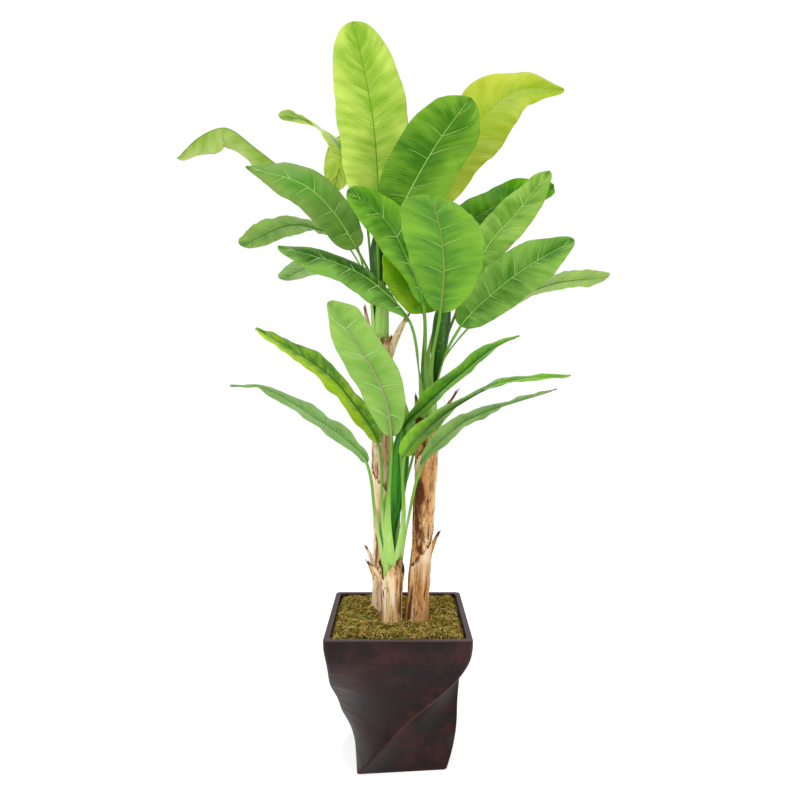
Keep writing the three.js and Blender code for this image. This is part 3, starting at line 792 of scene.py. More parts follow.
def grid_faces(rows, columns, closed=False):
    """Quads between rows of vertices. A closed grid joins each row's end to its start."""
    around = columns if closed else columns - 1
    k, i = np.meshgrid(np.arange(rows - 1), np.arange(around), indexing="ij")
    j = (i + 1) % columns
    low = k * columns
    high = low + columns
    return np.stack([low + i, low + j, high + j, high + i], axis=-1).reshape(-1, 4)


def closed_tube(rings):
    """Vertices and faces of a tube with both ends filled. Rings run anticlockwise about the way it goes."""
    rows, columns = rings.shape[:2]
    ends = [rings[0].mean(axis=0), rings[-1].mean(axis=0)]
    vertices = np.concatenate([rings.reshape(-1, 3), ends])
    faces = [tuple(face) for face in grid_faces(rows, columns, closed=True)]
    last = (rows - 1) * columns
    for i in range(columns):
        j = (i + 1) % columns
        faces.append((j, i, rows * columns))
        faces.append((last + i, last + j, rows * columns + 1))
    return vertices, faces


def join_meshes(piece, other):
    """Adds another object's mesh to a piece, with its materials, and removes the other object."""
    joined = bmesh.new()
    joined.from_mesh(piece.data)
    old_faces = len(joined.faces)
    shift = len(piece.data.materials)
    joined.from_mesh(other.data)
    joined.faces.ensure_lookup_table()
    for face in joined.faces[old_faces:]:
        face.material_index += shift
    for material in other.data.materials:
        piece.data.materials.append(material)
    joined.to_mesh(piece.data)
    joined.free()
    bpy.data.objects.remove(other)


def grow(piece, tree, **values):
    """Runs a node tree on a piece, with its inputs by name, and keeps what it makes as a plain mesh."""
    modifier = piece.modifiers.new(tree.name, "NODES")
    modifier.node_group = tree
    for item in tree.interface.items_tree:
        key = item.name.replace(" ", "_")
        if item.in_out == "INPUT" and key in values:
            modifier[item.identifier] = values[key]
    bpy.context.view_layer.update()
    evaluated = piece.evaluated_get(bpy.context.evaluated_depsgraph_get())
    mesh = bpy.data.meshes.new_from_object(evaluated)
    piece.modifiers.remove(modifier)
    piece.data = mesh
    return piece


def tidy_slots(mesh):
    """Keeps one slot for each material that a face uses."""
    index = np.zeros(len(mesh.polygons), np.int32)
    mesh.polygons.foreach_get("material_index", index)
    kept = []
    table = []
    for slot, material in enumerate(mesh.materials):
        if slot in index and material not in kept:
            kept.append(material)
        table.append(kept.index(material) if material in kept else 0)
    mesh.materials.clear()
    for material in kept:
        mesh.materials.append(material)
    mesh.polygons.foreach_set("material_index", np.array(table, np.int32)[index])


def settle(piece, node):
    """Tidies a finished piece's material slots, gives it its body, and hides the part of the frame that it
    stands for.
    """
    tidy_slots(piece.data)
    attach(piece, BODY)
    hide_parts(node)


# Planter


def make_planter_tree():
    """Sweeps a wall section round a rounded square that shrinks and turns on its way down from the rim."""
    tree, given, put = new_geometry_tree(
        "Twisted Planter", "Section",
        [
            ("Height", "NodeSocketFloat", PLANTER_HEIGHT * MM),
            ("Rim Side", "NodeSocketFloat", RIM_SIDE * MM),
            ("Base Side", "NodeSocketFloat", BASE_SIDE * MM),
            ("Turn", "NodeSocketFloat", math.radians(PLANTER_TURN)),
            ("Corner", "NodeSocketFloat", 0.062),
            ("Material", "NodeSocketMaterial", None),
        ],
        "Planter",
    )
    section = given["Section"]
    # The plan: a square of half side 1 with rounded corners
    square = result(tree, "GeometryNodeCurvePrimitiveQuadrilateral", {"Width": 2.0, "Height": 2.0})
    cut = result(tree, "GeometryNodeSubdivideCurve", {"Curve": square, "Cuts": 21})
    inputs = {"Curve": cut, "Radius": given["Corner"], "Count": 7}
    outline = result(tree, "GeometryNodeFilletCurve", inputs, mode="POLY")
    # A grid with a column for each place of the plan and a row for each place of the wall section
    size = "GeometryNodeAttributeDomainSize"
    across = add_node(tree, size, {"Geometry": outline}, component="CURVE").outputs["Point Count"]
    rows = add_node(tree, size, {"Geometry": section}, component="MESH").outputs["Point Count"]
    columns = calc(tree, "ADD", across, 1.0)
    inputs = {"Size X": 1.0, "Size Y": 1.0, "Vertices X": columns, "Vertices Y": rows}
    grid = result(tree, "GeometryNodeMeshGrid", inputs)
    place = result(tree, "GeometryNodeInputPosition")
    on_grid = axes(tree, place)
    column = calc(tree, "MULTIPLY", calc(tree, "ADD", on_grid[0], 0.5), across)
    column = calc(tree, "MODULO", calc(tree, "ROUND", column), across)
    row = calc(tree, "MULTIPLY", calc(tree, "ADD", on_grid[1], 0.5), calc(tree, "SUBTRACT", rows, 1.0))
    row = calc(tree, "ROUND", row)

    def sample(geometry, index):
        inputs = {"Geometry": geometry, "Value": place, "Index": index}
        return result(tree, "GeometryNodeSampleIndex", inputs, data_type="FLOAT_VECTOR")

    on_plan = sample(outline, column)
    inset, _, height = axes(tree, sample(section, row))
    # The plan's size at this height, and its turn, which fades out under the rim
    t = calc(tree, "DIVIDE", height, given["Height"])
    side = ramp(tree, t, FLARE_START, FLARE_END, given["Base Side"], given["Rim Side"])
    half = calc(tree, "SUBTRACT", calc(tree, "MULTIPLY", side, 0.5), inset)
    half = calc(tree, "MAXIMUM", half, 0.0)
    eased = calc(tree, "MAXIMUM", calc(tree, "SUBTRACT", t, TWIST_STEADY), 0.0)
    eased = calc(tree, "MINIMUM", eased, TWIST_EASE)
    eased = calc(tree, "MULTIPLY", eased, eased)
    rise = calc(tree, "MINIMUM", t, TWIST_STEADY + TWIST_EASE)
    rise = calc(tree, "MULTIPLY_ADD", eased, -1 / (2 * TWIST_EASE), rise)
    turned = calc(tree, "SUBTRACT", calc(tree, "DIVIDE", rise, TWIST_STEADY + TWIST_EASE / 2), 1.0)
    angle = calc(tree, "MULTIPLY", turned, given["Turn"])
    raised = vector_math(tree, "ADD", vector_math(tree, "SCALE", on_plan, half), vector(tree, z=height))
    inputs = {"Vector": raised, "Angle": angle}
    turned_place = result(tree, "ShaderNodeVectorRotate", inputs, rotation_type="Z_AXIS")
    corner = axes(tree, on_plan)
    ridge = calc(tree, "MINIMUM", calc(tree, "ABSOLUTE", corner[0]), calc(tree, "ABSOLUTE", corner[1]))
    marked = store(tree, grid, "ridge", ridge)
    placed = result(tree, "GeometryNodeSetPosition", {"Geometry": marked, "Position": turned_place})
    merged = result(tree, "GeometryNodeMergeByDistance", {"Geometry": placed, "Distance": 0.00002})
    real = result(tree, "GeometryNodeRealizeInstances", {"Geometry": soften(tree, merged)})
    tree.links.new(cover(tree, real, given["Material"]), put["Planter"])
    return tree


def planter_material():
    """Dark mahogany stain, brushed along the sides and worn on the edges, with a painted sheen on the top of
    the rim.
    """
    material, tree, shader = new_material("planter_stain", Specular_IOR_Level=0.2)
    brushed = speckle(tree, object_places(tree, (5, 5, 60)), 1, 5, 0.6)
    grain = speckle(tree, object_places(tree, (90, 90, 14)), 1, 4, 0.6)
    cloud = speckle(tree, object_places(tree), 11, 4, 0.6)
    color = blend(tree, ramp(tree, brushed, 0.45, 0.75, 0.0, 0.6), paint("190b0b"), paint("421617"))
    color = blend(tree, ramp(tree, cloud, 0.45, 0.75, 0.0, 0.6), color, paint("46201e"))
    color = blend(tree, ramp(tree, grain, 0.5, 0.75, 0.0, 0.5), color, paint("12090a"))
    ridge = calc(tree, "MULTIPLY_ADD", cloud, 0.05, attribute(tree, "ridge"))
    color = blend(tree, ramp(tree, ridge, 0.98, 1.03, 0.0, 0.6), color, paint("682e29"))
    # Painted sheen: the top of the rim is lightened to grey, as where it faces up and reflects the bright
    # surround
    level = axes(tree, object_places(tree))[2]
    rim = ramp(tree, level, (PLANTER_HEIGHT - 3.5) * MM, (PLANTER_HEIGHT - 0.5) * MM, 0.0, 0.55)
    color = blend(tree, rim, color, paint("6e5f64"))
    height = calc(tree, "MULTIPLY_ADD", grain, 0.5, brushed)
    finish_material(tree, shader, color, height, 0.0007, ramp(tree, brushed, 0.3, 0.7, 0.42, 0.58))
    return material


def build_planter(settings):
    """The planter's shell. Its wall section holds places as inset from the outside and height."""
    edge = settings.edge_round / MM
    foot = [(BASE_SIDE / 2, 0), (BASE_SIDE / 4, 0), (edge, 0), (0.3 * edge, 0.3 * edge), (0, edge)]
    wall = [(0, z) for z in np.linspace(edge, PLANTER_HEIGHT - edge, 96)[1:]]
    lip = [(0.3 * edge, PLANTER_HEIGHT - 0.3 * edge), (edge, PLANTER_HEIGHT)]
    back = [(WALL - x, z) for x, z in reversed(lip)]
    inside = [(WALL, z) for z in np.linspace(PLANTER_HEIGHT - edge, MOSS_TOP - WALL_SHOWN, 9)]
    section = foot + wall + lip + back + inside
    piece = new_piece("planter_shell", [(x, 0, z) for x, z in section], [])
    grow(piece, make_planter_tree(), Material=planter_material())
    settle(piece, "planter")


# Moss


def moss_material(name, dark, light, brown, bed=False):
    """Dried moss. Each strand has a tone of its own, and the bed is mottled finely."""
    material, tree, shader = new_material(name, Specular_IOR_Level=0.15)
    cloud = speckle(tree, object_places(tree), 26, 4, 0.6)
    fine = speckle(tree, object_places(tree), 420, 2, 0.6)
    tone = fine if bed else attribute(tree, "tone")
    color = blend(tree, ramp(tree, tone, 0.0, 0.55, 0.0, 1.0, "LINEAR"), paint(dark), paint(brown))
    color = blend(tree, ramp(tree, tone, 0.5, 0.95, 0.0, 1.0, "LINEAR"), color, paint(light))
    greener = calc(tree, "MULTIPLY_ADD", tone, -0.2, cloud)
    color = blend(tree, ramp(tree, greener, 0.4, 0.52, 0.0, 0.55), color, paint("6e7823"))
    finish_material(tree, shader, color, fine, 0.0006, 0.9)
    return material


def make_moss_tree():
    """Curled strands of moss scattered over the bed."""
    tree, given, put = new_geometry_tree(
        "Moss Strands", "Bed",
        [
            ("Density", "NodeSocketFloat", 40000.0),
            ("Length", "NodeSocketFloat", 0.02),
            ("Thickness", "NodeSocketFloat", 0.0011),
            ("Seed", "NodeSocketInt", 4),
            ("Material", "NodeSocketMaterial", None),
        ],
        "Strands",
    )
    points = scatter(tree, given["Bed"], given["Density"], given["Seed"])["Points"]
    half = calc(tree, "MULTIPLY", given["Length"], 0.5)
    inputs = {"Resolution": 5, "Radius": half, "Sweep Angle": 2.6}
    arc = result(tree, "GeometryNodeCurveArc", inputs, mode="RADIUS")
    along = result(tree, "GeometryNodeSplineParameter")
    thick = calc(tree, "MULTIPLY", given["Thickness"], ramp(tree, along, 0.0, 1.0, 1.0, 0.35, "LINEAR"))
    inputs = {"Geometry": sweep(tree, arc, thick, 3), "Rotation": (math.pi / 2, 0, 0)}
    upright = result(tree, "GeometryNodeTransform", inputs)
    turn = random_vector(tree, (-1.0, -1.0, 0.0), (1.0, 1.0, math.tau), given["Seed"])
    size = random_number(tree, 0.55, 1.25, 11)
    toned = store(tree, points, "tone", random_number(tree, 0.0, 1.0, 5))
    real = soften(tree, place_copies(tree, toned, upright, Rotation=turn, Scale=size))
    tree.links.new(cover(tree, real, given["Material"]), put["Strands"])
    return tree


def bed_height(x, y):
    """Height of the moss above the ground, lower along the planter's walls."""
    reach = RIM_SIDE / 2 - WALL
    edge = smooth(0, 26, reach - max(abs(x), abs(y)))
    lumps = 3.0 * noisy(x / 60, y / 60, 3) + 2.0 * noisy(x / 22, y / 22, 8)
    return MOSS_TOP - BED_SUNK + edge * (BED_CROWN + lumps)


def add_skirt(top, count):
    """The bed's places and faces, with walls down from its edge and a flat underside."""
    grid = np.arange(count * count).reshape(count, count)
    edge = [*grid[0], *grid[1:, -1], *grid[-1, -2::-1], *grid[-2:0:-1, 0]]
    low = [(*top[i][:2], MOSS_TOP - BED_DEPTH) for i in edge]
    below = count * count + np.arange(len(edge))
    faces = [tuple(face) for face in grid_faces(count, count)]
    faces += [(edge[i], edge[i - 1], below[i - 1], below[i]) for i in range(len(edge))]
    faces.append(tuple(below[::-1]))
    return top + low, faces


def build_moss(settings):
    """The lumpy bed with a skirt down into the planter, and the strands scattered on it."""
    reach = RIM_SIDE / 2 - WALL - 1
    line = np.linspace(-reach, reach, BED_SIDE)
    top = [(x, y, bed_height(x, y)) for y in line for x in line]
    ground = moss_material("moss_ground", "1e190a", "504616", "32280f", bed=True)
    bed = new_piece("moss_bed_top", *add_skirt(top, BED_SIDE), ground)
    strands = new_piece("moss_strands", top, grid_faces(BED_SIDE, BED_SIDE))
    grow(
        strands, make_moss_tree(), Density=settings.density, Length=settings.length,
        Thickness=settings.thickness, Material=moss_material("moss_strand", "504014", "f0de80", "b9913c"),
    )
    settle(bed, "moss_bed")
    settle(strands, "moss_bed")


# Stems


def stem_axis(stem, height):
    """The middle of a stem at a height above the ground."""
    length = stem.top[2] - MOSS_TOP
    t = (height - MOSS_TOP) / length
    bow = STEM_BOW * length * t * (1 - t)
    x = mix(stem.foot[0], stem.top[0], t) + bow
    y = mix(stem.foot[1], stem.top[1], t)
    return np.array([x, y, height])


def stem_radius(stem, height):
    """A stem's radius at a height above the ground. It flares a little where it enters the moss."""
    t = (height - MOSS_TOP) / (stem.top[2] - MOSS_TOP)
    flare = 2 * math.exp((MOSS_TOP - height) / 25)
    return mix(stem.foot_radius, stem.top_radius, t) + flare - STEM_WAIST * math.sin(math.pi * t)


def above_tear(name, turn, height):
    """How far a place lies above the nearest torn edge: no number where no edge runs."""
    found = math.inf
    for turn_a, up_a, turn_b, up_b in TORN[name]:
        if turn_a < turn < turn_b:
            edge = mix(up_a, up_b, (turn - turn_a) / (turn_b - turn_a))
            edge += 9 * noisy(turn / 9, up_a) + 5 * noisy(turn / 2.5, up_a)
            if abs(height - edge) < abs(found):
                found = height - edge
    return found


def bark_relief(name, stem, turn, height):
    """Height of the bark over the stem in millimetres, and how far it stands out of its creases, 0 to 1."""
    seed = stem.seed
    x, y, _ = plan(turn)
    # Three sheets wrap the stem, each over the next, with edges that wander as they rise
    sheet = (3 * (turn / 360) + 0.0016 * height + 0.22 * noisy(height / 70, seed, 2)) % 1
    overlap = 2.6 * (1 - sheet) - 1.3
    # Each 170 mm or so a length of sheet ends in a torn line over the next
    torn = 34 * noisy(2.2 * x, 2.2 * y, seed) + 14 * noisy(7 * x, 7 * y, seed + 4)
    level = ((height + torn) / 170 + 0.37 * seed) % 1
    step = 1.8 * smooth(1.0, 0.55, level) * smooth(0.0, 0.03, level) - 0.6
    fibre = 0.9 * noisy(13 * x, 13 * y, height / 55 + seed)
    lump = 2.2 * noisy(1.5 * x, 1.5 * y, height / 120 + seed)
    crease = smooth(0.0, 0.05, sheet) * smooth(1.0, 0.93, sheet) * smooth(0.0, 0.04, level)
    stand = 0.5 * crease + 0.25 + 0.3 * fibre
    # Below a torn edge the outer sheet is still there, and lifts towards the edge
    above = above_tear(name, turn, height)
    if -90 < above < 0:
        lump += 2.6 * (1 + above / 90)
        stand += 0.35 * (1 + above / 90)
    return overlap + float(step) + fibre + lump, float(np.clip(stand, 0, 1))


def stain_at(name, stem, turn, height):
    """How stained the bark is at a place: 1 is dark, -1 is bleached."""
    dark = stem.burnt * float(smooth(45, 0, stem.top[2] - height))
    pale = 0
    for up, around, tall, wide, strength in STAINS[name]:
        apart = math.radians(turn_gap(turn, around)) * stem.foot_radius
        share = strength * math.exp(-(((height - up) / tall) ** 2) - (apart / wide) ** 2)
        dark = max(dark, share)
        pale = min(pale, share)
    # A torn edge is dark at the line itself and pale on the sheet below it
    above = above_tear(name, turn, height)
    if above > -2:
        dark = max(dark, 1.2 * math.exp(-((above / 5) ** 2)))
    elif above > -70:
        pale = min(pale, -0.6 * (1 + above / 70))
    return dark + pale


def stem_top(name, stem, turn):
    """Height of the bark's torn edge at a turn."""
    x, y, _ = plan(turn)
    jag = 12 * noisy(4 * x, 4 * y, stem.seed) + 8 * noisy(13 * x, 13 * y, stem.seed)
    top = stem.top[2] + 6 + jag
    for around, wide, deep in NOTCHES[name]:
        top -= deep * float(smooth(wide, 0, abs(turn_gap(turn, around))))
    return top


def build_stem(name, stem, settings):
    """The bark from inside the moss to its torn edge, with its torn strips, and its loose fibres."""
    rows = int((stem.top[2] - MOSS_TOP) / BARK_STEP)
    turns = np.linspace(0, 360, BARK_SIDES, endpoint=False)
    tops = [stem_top(name, stem, turn) for turn in turns]
    rings = []
    values = []
    stains = []
    for k in range(rows + 1):
        ring = []
        for turn, top in zip(turns, tops):
            height = mix(MOSS_TOP - BARK_SUNK, top, k / rows)
            out, stand = bark_relief(name, stem, turn, height)
            near_top = float(smooth(30, 0, top - height))
            radius = stem_radius(stem, min(height, stem.top[2])) + out - 1.5 + 2.5 * near_top
            ring.append(stem_axis(stem, height) + radius * plan(turn))
            values.append(stand)
            stains.append(stain_at(name, stem, turn, height))
        rings.append(ring)
    # Inside the torn edge the bark folds in and goes down to the core: how far in, how far down
    torn = rings[-1]
    for inset, drop in ((2.2, -0.5), (4.5, 3), (6, 60)):
        ring = []
        for edge in torn:
            inward = stem_axis(stem, edge[2]) - edge
            ring.append(edge + inward / np.linalg.norm(inward) * inset - drop * UP)
        rings.append(ring)
        # Inside the torn edge the relief is low, which paints shade there
        values += [0.1] * BARK_SIDES
        stains += [0.5] * BARK_SIDES
    vertices, faces = closed_tube(np.array(rings))
    piece = new_piece(f"{name}_bark", vertices, faces, bark_material(f"{name}_bark", **BARK_TONES[name]))
    set_values(piece.data, "relief", values + [0.5, 0.1])
    set_values(piece.data, "stain", stains + [0.5, 0.5])
    for index, flap in enumerate(row for row in FLAPS if row.stem == name):
        join_meshes(piece, build_flap(stem, flap, index, piece.data.materials[0]))
    for part in (piece, grow_fibres(name, piece, settings)):
        settle(part, f"{name}_stem")


def build_flap(stem, flap, index, material):
    """A curled strip of bark, torn at its tip, that turns its face towards the viewer."""
    columns = 13
    rows = 30
    out = plan(flap.turn)
    aside = plan(flap.turn + 90)
    twist = -FLAP_TWIST * math.cos(math.radians(flap.turn))
    seed = stem.seed + 3.7 * index
    root = stem_axis(stem, flap.up) + out * (stem_radius(stem, flap.up) - 2)
    lean = math.radians(flap.lean)
    sway = math.sin(math.radians(flap.sway))
    outer = []
    inner = []
    values = []
    stains = []
    for k in range(rows):
        t = k / (rows - 1)
        side = plan(flap.turn + 90 + twist * t)
        near = plan(flap.turn + twist * t)
        for i in range(columns):
            s = mix(-1, 1, i / (columns - 1))
            u = t * (1 + 0.10 * noisy(3 * s, seed) + 0.05 * noisy(9 * s, seed))
            half = mix(flap.width / 2, FLAP_TIP_HALF, smooth(0.25, 1, t))
            half = half * (1 + 0.25 * noisy(5 * t, seed, 2))
            centre = root + out * flap.length * math.sin(lean) * u ** 1.5
            centre = centre + UP * flap.length * math.cos(lean) * u
            centre = centre - aside * flap.length * sway * u ** 2
            curl = -(half * 0.5 * s * s) * mix(0.6, 1.2, t)
            ripple = 0.8 * noisy(6 * s, 4 * t, seed)
            place = centre + side * half * s + near * (curl + ripple)
            outer.append(place + near)
            inner.append(place - near)
            values.append(0.55 + 0.3 * noisy(8 * s, 3 * t, seed))
            stains.append(flap.tip * float(smooth(0.75, 1.0, t)))
    faces = [tuple(face) for face in grid_faces(rows, columns)]
    count = rows * columns
    faces += [tuple(count + v for v in reversed(face)) for face in faces]
    edge = list(range(columns))
    edge += [k * columns + columns - 1 for k in range(1, rows)]
    edge += [count - 1 - i for i in range(1, columns)]
    edge += [k * columns for k in range(rows - 2, 0, -1)]
    faces += [(b, a, count + a, count + b) for a, b in zip(edge, edge[1:] + edge[:1])]
    piece = new_piece(f"{flap.stem}_flap_{index}", outer + inner, faces, material)
    # The inner face takes a low relief, which paints shade on it
    set_values(piece.data, "relief", values + [0.25] * count)
    set_values(piece.data, "stain", stains + [0.6] * count)
    return piece


def make_fibre_tree():
    """Loose fibres that lie along the bark."""
    tree, given, put = new_geometry_tree(
        "Loose Fibres", "Bark",
        [
            ("Density", "NodeSocketFloat", 1600.0),
            ("Length", "NodeSocketFloat", 0.03),
            ("Root Radius", "NodeSocketFloat", 0.02),
            ("Tip Radius", "NodeSocketFloat", 0.006),
            ("Seed", "NodeSocketInt", 1),
            ("Material", "NodeSocketMaterial", None),
        ],
        "Fibres",
    )
    points = scatter(tree, given["Bark"], given["Density"], given["Seed"])
    handles = {"Start Handle": (0.002, 0, 0.4), "End Handle": (0.09, 0, 0.8)}
    inputs = {"Resolution": 5, "Start": (0, 0, 0), "End": (0.13, 0, 1.0), **handles}
    bow = result(tree, "GeometryNodeCurvePrimitiveBezierSegment", inputs)
    along = result(tree, "GeometryNodeSplineParameter")
    thin = ramp(tree, along, 0.0, 1.0, given["Root Radius"], given["Tip Radius"], "LINEAR")
    fibre = sweep(tree, bow, thin, 3)
    inputs = {"Vector": points["Normal"]}
    aligned = result(tree, "FunctionNodeAlignRotationToVector", inputs, axis="X", pivot_axis="Z")
    sway = random_vector(tree, (-0.35, -0.05, -0.4), (0.35, 0.05, 0.4), given["Seed"])
    inputs = {"Rotation": aligned, "Rotate By": sway}
    turned = result(tree, "FunctionNodeRotateRotation", inputs, rotation_space="LOCAL")
    scale = calc(tree, "MULTIPLY", random_number(tree, 0.4, 1.3, 3), given["Length"])
    real = place_copies(tree, points["Points"], fibre, Rotation=turned, Scale=scale)
    marked = store(tree, real, "relief", 0.6)
    tree.links.new(cover(tree, marked, given["Material"]), put["Fibres"])
    return tree


def grow_fibres(name, bark, settings):
    """A stem's loose fibres, as a piece of their own."""
    piece = bpy.data.objects.new(f"{name}_fibres", bark.data.copy())
    bpy.context.scene.collection.objects.link(piece)
    tree = bpy.data.node_groups.get("Loose Fibres") or make_fibre_tree()
    return grow(
        piece, tree, Density=settings.fibres, Length=settings.length, Seed=STEMS[name].seed,
        Material=bark.data.materials[0],
    )


# Leaves


class Path:
    """A smooth path through a few places. Its way at each is that of the chord between its neighbours."""

    def __init__(self, places):
        self.places = np.array(places, float)
        steps = np.linalg.norm(np.diff(self.places, axis=0), axis=1)
        self.marks = np.concatenate([[0], np.cumsum(steps)])
        last = len(places) - 1
        order = np.arange(last + 1)
        before = np.maximum(order - 1, 0)
        after = np.minimum(order + 1, last)
        span = self.marks[after] - self.marks[before]
        self.slopes = (self.places[after] - self.places[before]) / span[:, None]

    def at(self, marks):
        """Places at marks, which are millimetres along the chords from the start."""
        i = np.clip(np.searchsorted(self.marks, marks, side="left") - 1, 0, len(self.places) - 2)
        span = (self.marks[i + 1] - self.marks[i])[:, None]
        t = (marks - self.marks[i])[:, None] / span
        point = self.places[i] * (2 * t ** 3 - 3 * t ** 2 + 1)
        point += self.slopes[i] * span * (t ** 3 - 2 * t ** 2 + t)
        point += self.places[i + 1] * (3 * t ** 2 - 2 * t ** 3)
        return point + self.slopes[i + 1] * span * (t ** 3 - t ** 2)

    def way(self, marks):
        """The directions of the path at marks."""
        end = self.marks[-1]
        return unit(self.at(np.minimum(marks + 1, end)) - self.at(np.maximum(marks - 1, 0)))


class Midrib:
    """A leaf's midrib, from its foot in the stem to its tip. Its blade and stalk follow its frame."""

    def __init__(self, leaf, stem):
        top = np.array(stem.top, float)
        self.leaf = leaf
        self.radius = stem.bundle * RING_SHARE[leaf.ring]
        foot = top + plan(leaf.turn) * self.radius + UP * CLEARANCE
        sheath_top = foot + plan(leaf.turn) * stem.splay + UP * SHEATH_RISE
        self.path = Path([foot, sheath_top] + [top + place for place in leaf.spine])
        self.collar = self.path.marks[2]
        self.blade = self.path.marks[-1] - self.collar

    def frame(self, marks):
        """Places, sides and upper directions at marks along the midrib."""
        way = self.path.way(marks)
        share = np.clip((marks - self.collar) / self.blade / self.leaf.turned, 0, 1)[:, None]
        inward = plan(self.leaf.turn + 180)
        face = unit(self.leaf.face)
        tip_face = unit(self.leaf.tip_face or self.leaf.face)
        to_face = smooth(0.1, 0.95, marks / self.collar)[:, None]
        up = inward * (1 - to_face) + (face * (1 - share) + tip_face * share) * to_face
        up = unit(up - way * np.sum(up * way, axis=1, keepdims=True))
        return self.path.at(marks), np.cross(up, way), up


def rib_starts(leaf, seed):
    """Where the side ribs leave the midrib: two rows, for the sides of negative and positive share."""
    if leaf.ribs:
        return leaf.ribs
    rows = []
    for side in (0, 1):
        shift = 0.45 + 0.14 * side
        rows.append([(k + shift + 0.16 * noisy(3.7 * k, seed, side)) / 5 for k in range(5)])
    return rows


def vein_law(u, share, slender, skew):
    """Where along the midrib the vein through a place of the blade starts."""
    across = np.abs(share)
    rise = (VEIN_SLOPE + skew * np.sign(share)) * across - VEIN_SAG * across ** 2
    return (u - slender * rise) / (1 + VEIN_GROWTH * slender * across)


def blade_share(u, widest):
    """Share of its full half width that a blade has at u, from 0 at the collar to 1 at the tip."""
    v = np.clip(u, 0, 1) ** (math.log(0.5) / math.log(widest))
    return np.maximum(4 * v * (1 - v), 0) ** 0.42


def blade_outline(leaf, half, u, seed):
    """Half widths of a blade at each u, for the sides of negative and positive share."""
    uneven = [[1 + 0.04 * noisy(7 * v, seed, s) + 0.012 * noisy(27 * v, seed, s) for s in (-1, 1)] for v in u]
    outline = half[:, None] * np.array(uneven)
    outline *= (1 - leaf.point * smooth(0.7, 1.0, u) - leaf.root * smooth(0.3, 0.0, u))[:, None]
    for place, side, height, spread in leaf.bumps:
        outline[:, (side + 1) // 2] += height * np.exp(-(((u - place) / spread) ** 2))
    return outline


def blade_lift(leaf, midrib, half, u, share, start, seed):
    """How high a blade stands over its midrib: its hollow, its waves and its bulges between the ribs."""
    across = np.abs(share)[None, :]
    on_blade = smooth(0, 0.06, u)[:, None]
    lift = half[:, None] * (leaf.cup * on_blade) * (across - 0.5 * share[None, :] ** 2)
    marks = midrib.blade * u
    fade = smooth(0, 0.12, u)[:, None]
    for side in (-1, 1):
        broad = np.array([noisy(mark / 95, seed + side, 5) for mark in marks])[:, None]
        short = np.array([noisy(mark / 38, seed + side, 9) for mark in marks])[:, None]
        wave = 2.0 * leaf.wave * (0.75 * broad + 0.35 * short) * across ** 2.2 * fade
        lift += np.where(share[None, :] * side > 0, wave, 0)
    for side, starts in zip((-1, 1), rib_starts(leaf, seed)):
        ribs = np.array([-0.1, *starts, 1.15])
        which = np.clip(np.searchsorted(ribs, start) - 1, 0, len(ribs) - 2)
        t = (start - ribs[which]) / (ribs[which + 1] - ribs[which])
        bulge = 3.0 * np.sin(np.pi * np.clip(t, 0, 1)) ** 0.7
        bulge = bulge * smooth(0, 0.2, across) * smooth(1.1, 0.7, across)
        lift += np.where(share[None, :] * side > 0, bulge, 0)
    puckers = [[noisy(v * midrib.blade / 26, 1.2 * x, seed) for v, x in zip(row, share)] for row in start]
    return lift + 0.9 * np.array(puckers) * smooth(0, 0.25, across) * on_blade


def build_blade(leaf, midrib, seed):
    """The blade's surface as a grid, with the way of its veins stored for the material."""
    u = (1 - np.cos(np.pi * np.linspace(0.005, 0.995, BLADE_ROWS))) / 2
    share = np.linspace(-1, 1, BLADE_COLUMNS)
    across = np.abs(share)[None, :]
    centre, side, up = midrib.frame(midrib.collar + midrib.blade * u)
    half = blade_share(u, leaf.widest) * leaf.width / 2
    outline = blade_outline(leaf, half, u, seed)
    widths = np.where(share[None, :] < 0, outline[:, :1], outline[:, 1:])
    start = vein_law(u[:, None], share[None, :], leaf.width / 2 / midrib.blade, leaf.skew)
    lift = blade_lift(leaf, midrib, half, u, share, start, seed)
    on_blade = smooth(0, 0.06, u)[:, None]
    folded = np.radians(np.where(share < 0, leaf.fold[0], leaf.fold[1]))[None, :] * on_blade
    lift = lift * np.cos(folded) - across * widths * np.sin(folded)
    places = centre[:, None, :] + side[:, None, :] * (widths * share[None, :] * np.cos(folded))[:, :, None]
    places += up[:, None, :] * lift[:, :, None]
    faces = grid_faces(BLADE_ROWS, BLADE_COLUMNS)[:, ::-1]
    piece = new_piece(f"{leaf.name}_surface", places.reshape(-1, 3), faces)
    set_values(piece.data, "vein_way", (start * midrib.blade * MM).ravel())
    set_values(piece.data, "half_share", np.tile(share, BLADE_ROWS))
    store_uv(piece.data, share, u)
    return piece


def store_uv(mesh, share, u):
    """A UV map with the place across the blade and the place along it."""
    across, along = np.meshgrid((share + 1) / 2, u)
    table = np.stack([across.ravel(), along.ravel()], axis=-1)
    corners = np.zeros(len(mesh.loops), np.int32)
    mesh.loops.foreach_get("vertex_index", corners)
    layer = mesh.uv_layers.new(name="blade")
    layer.uv.foreach_set("vector", table[corners].astype(np.float32).ravel())


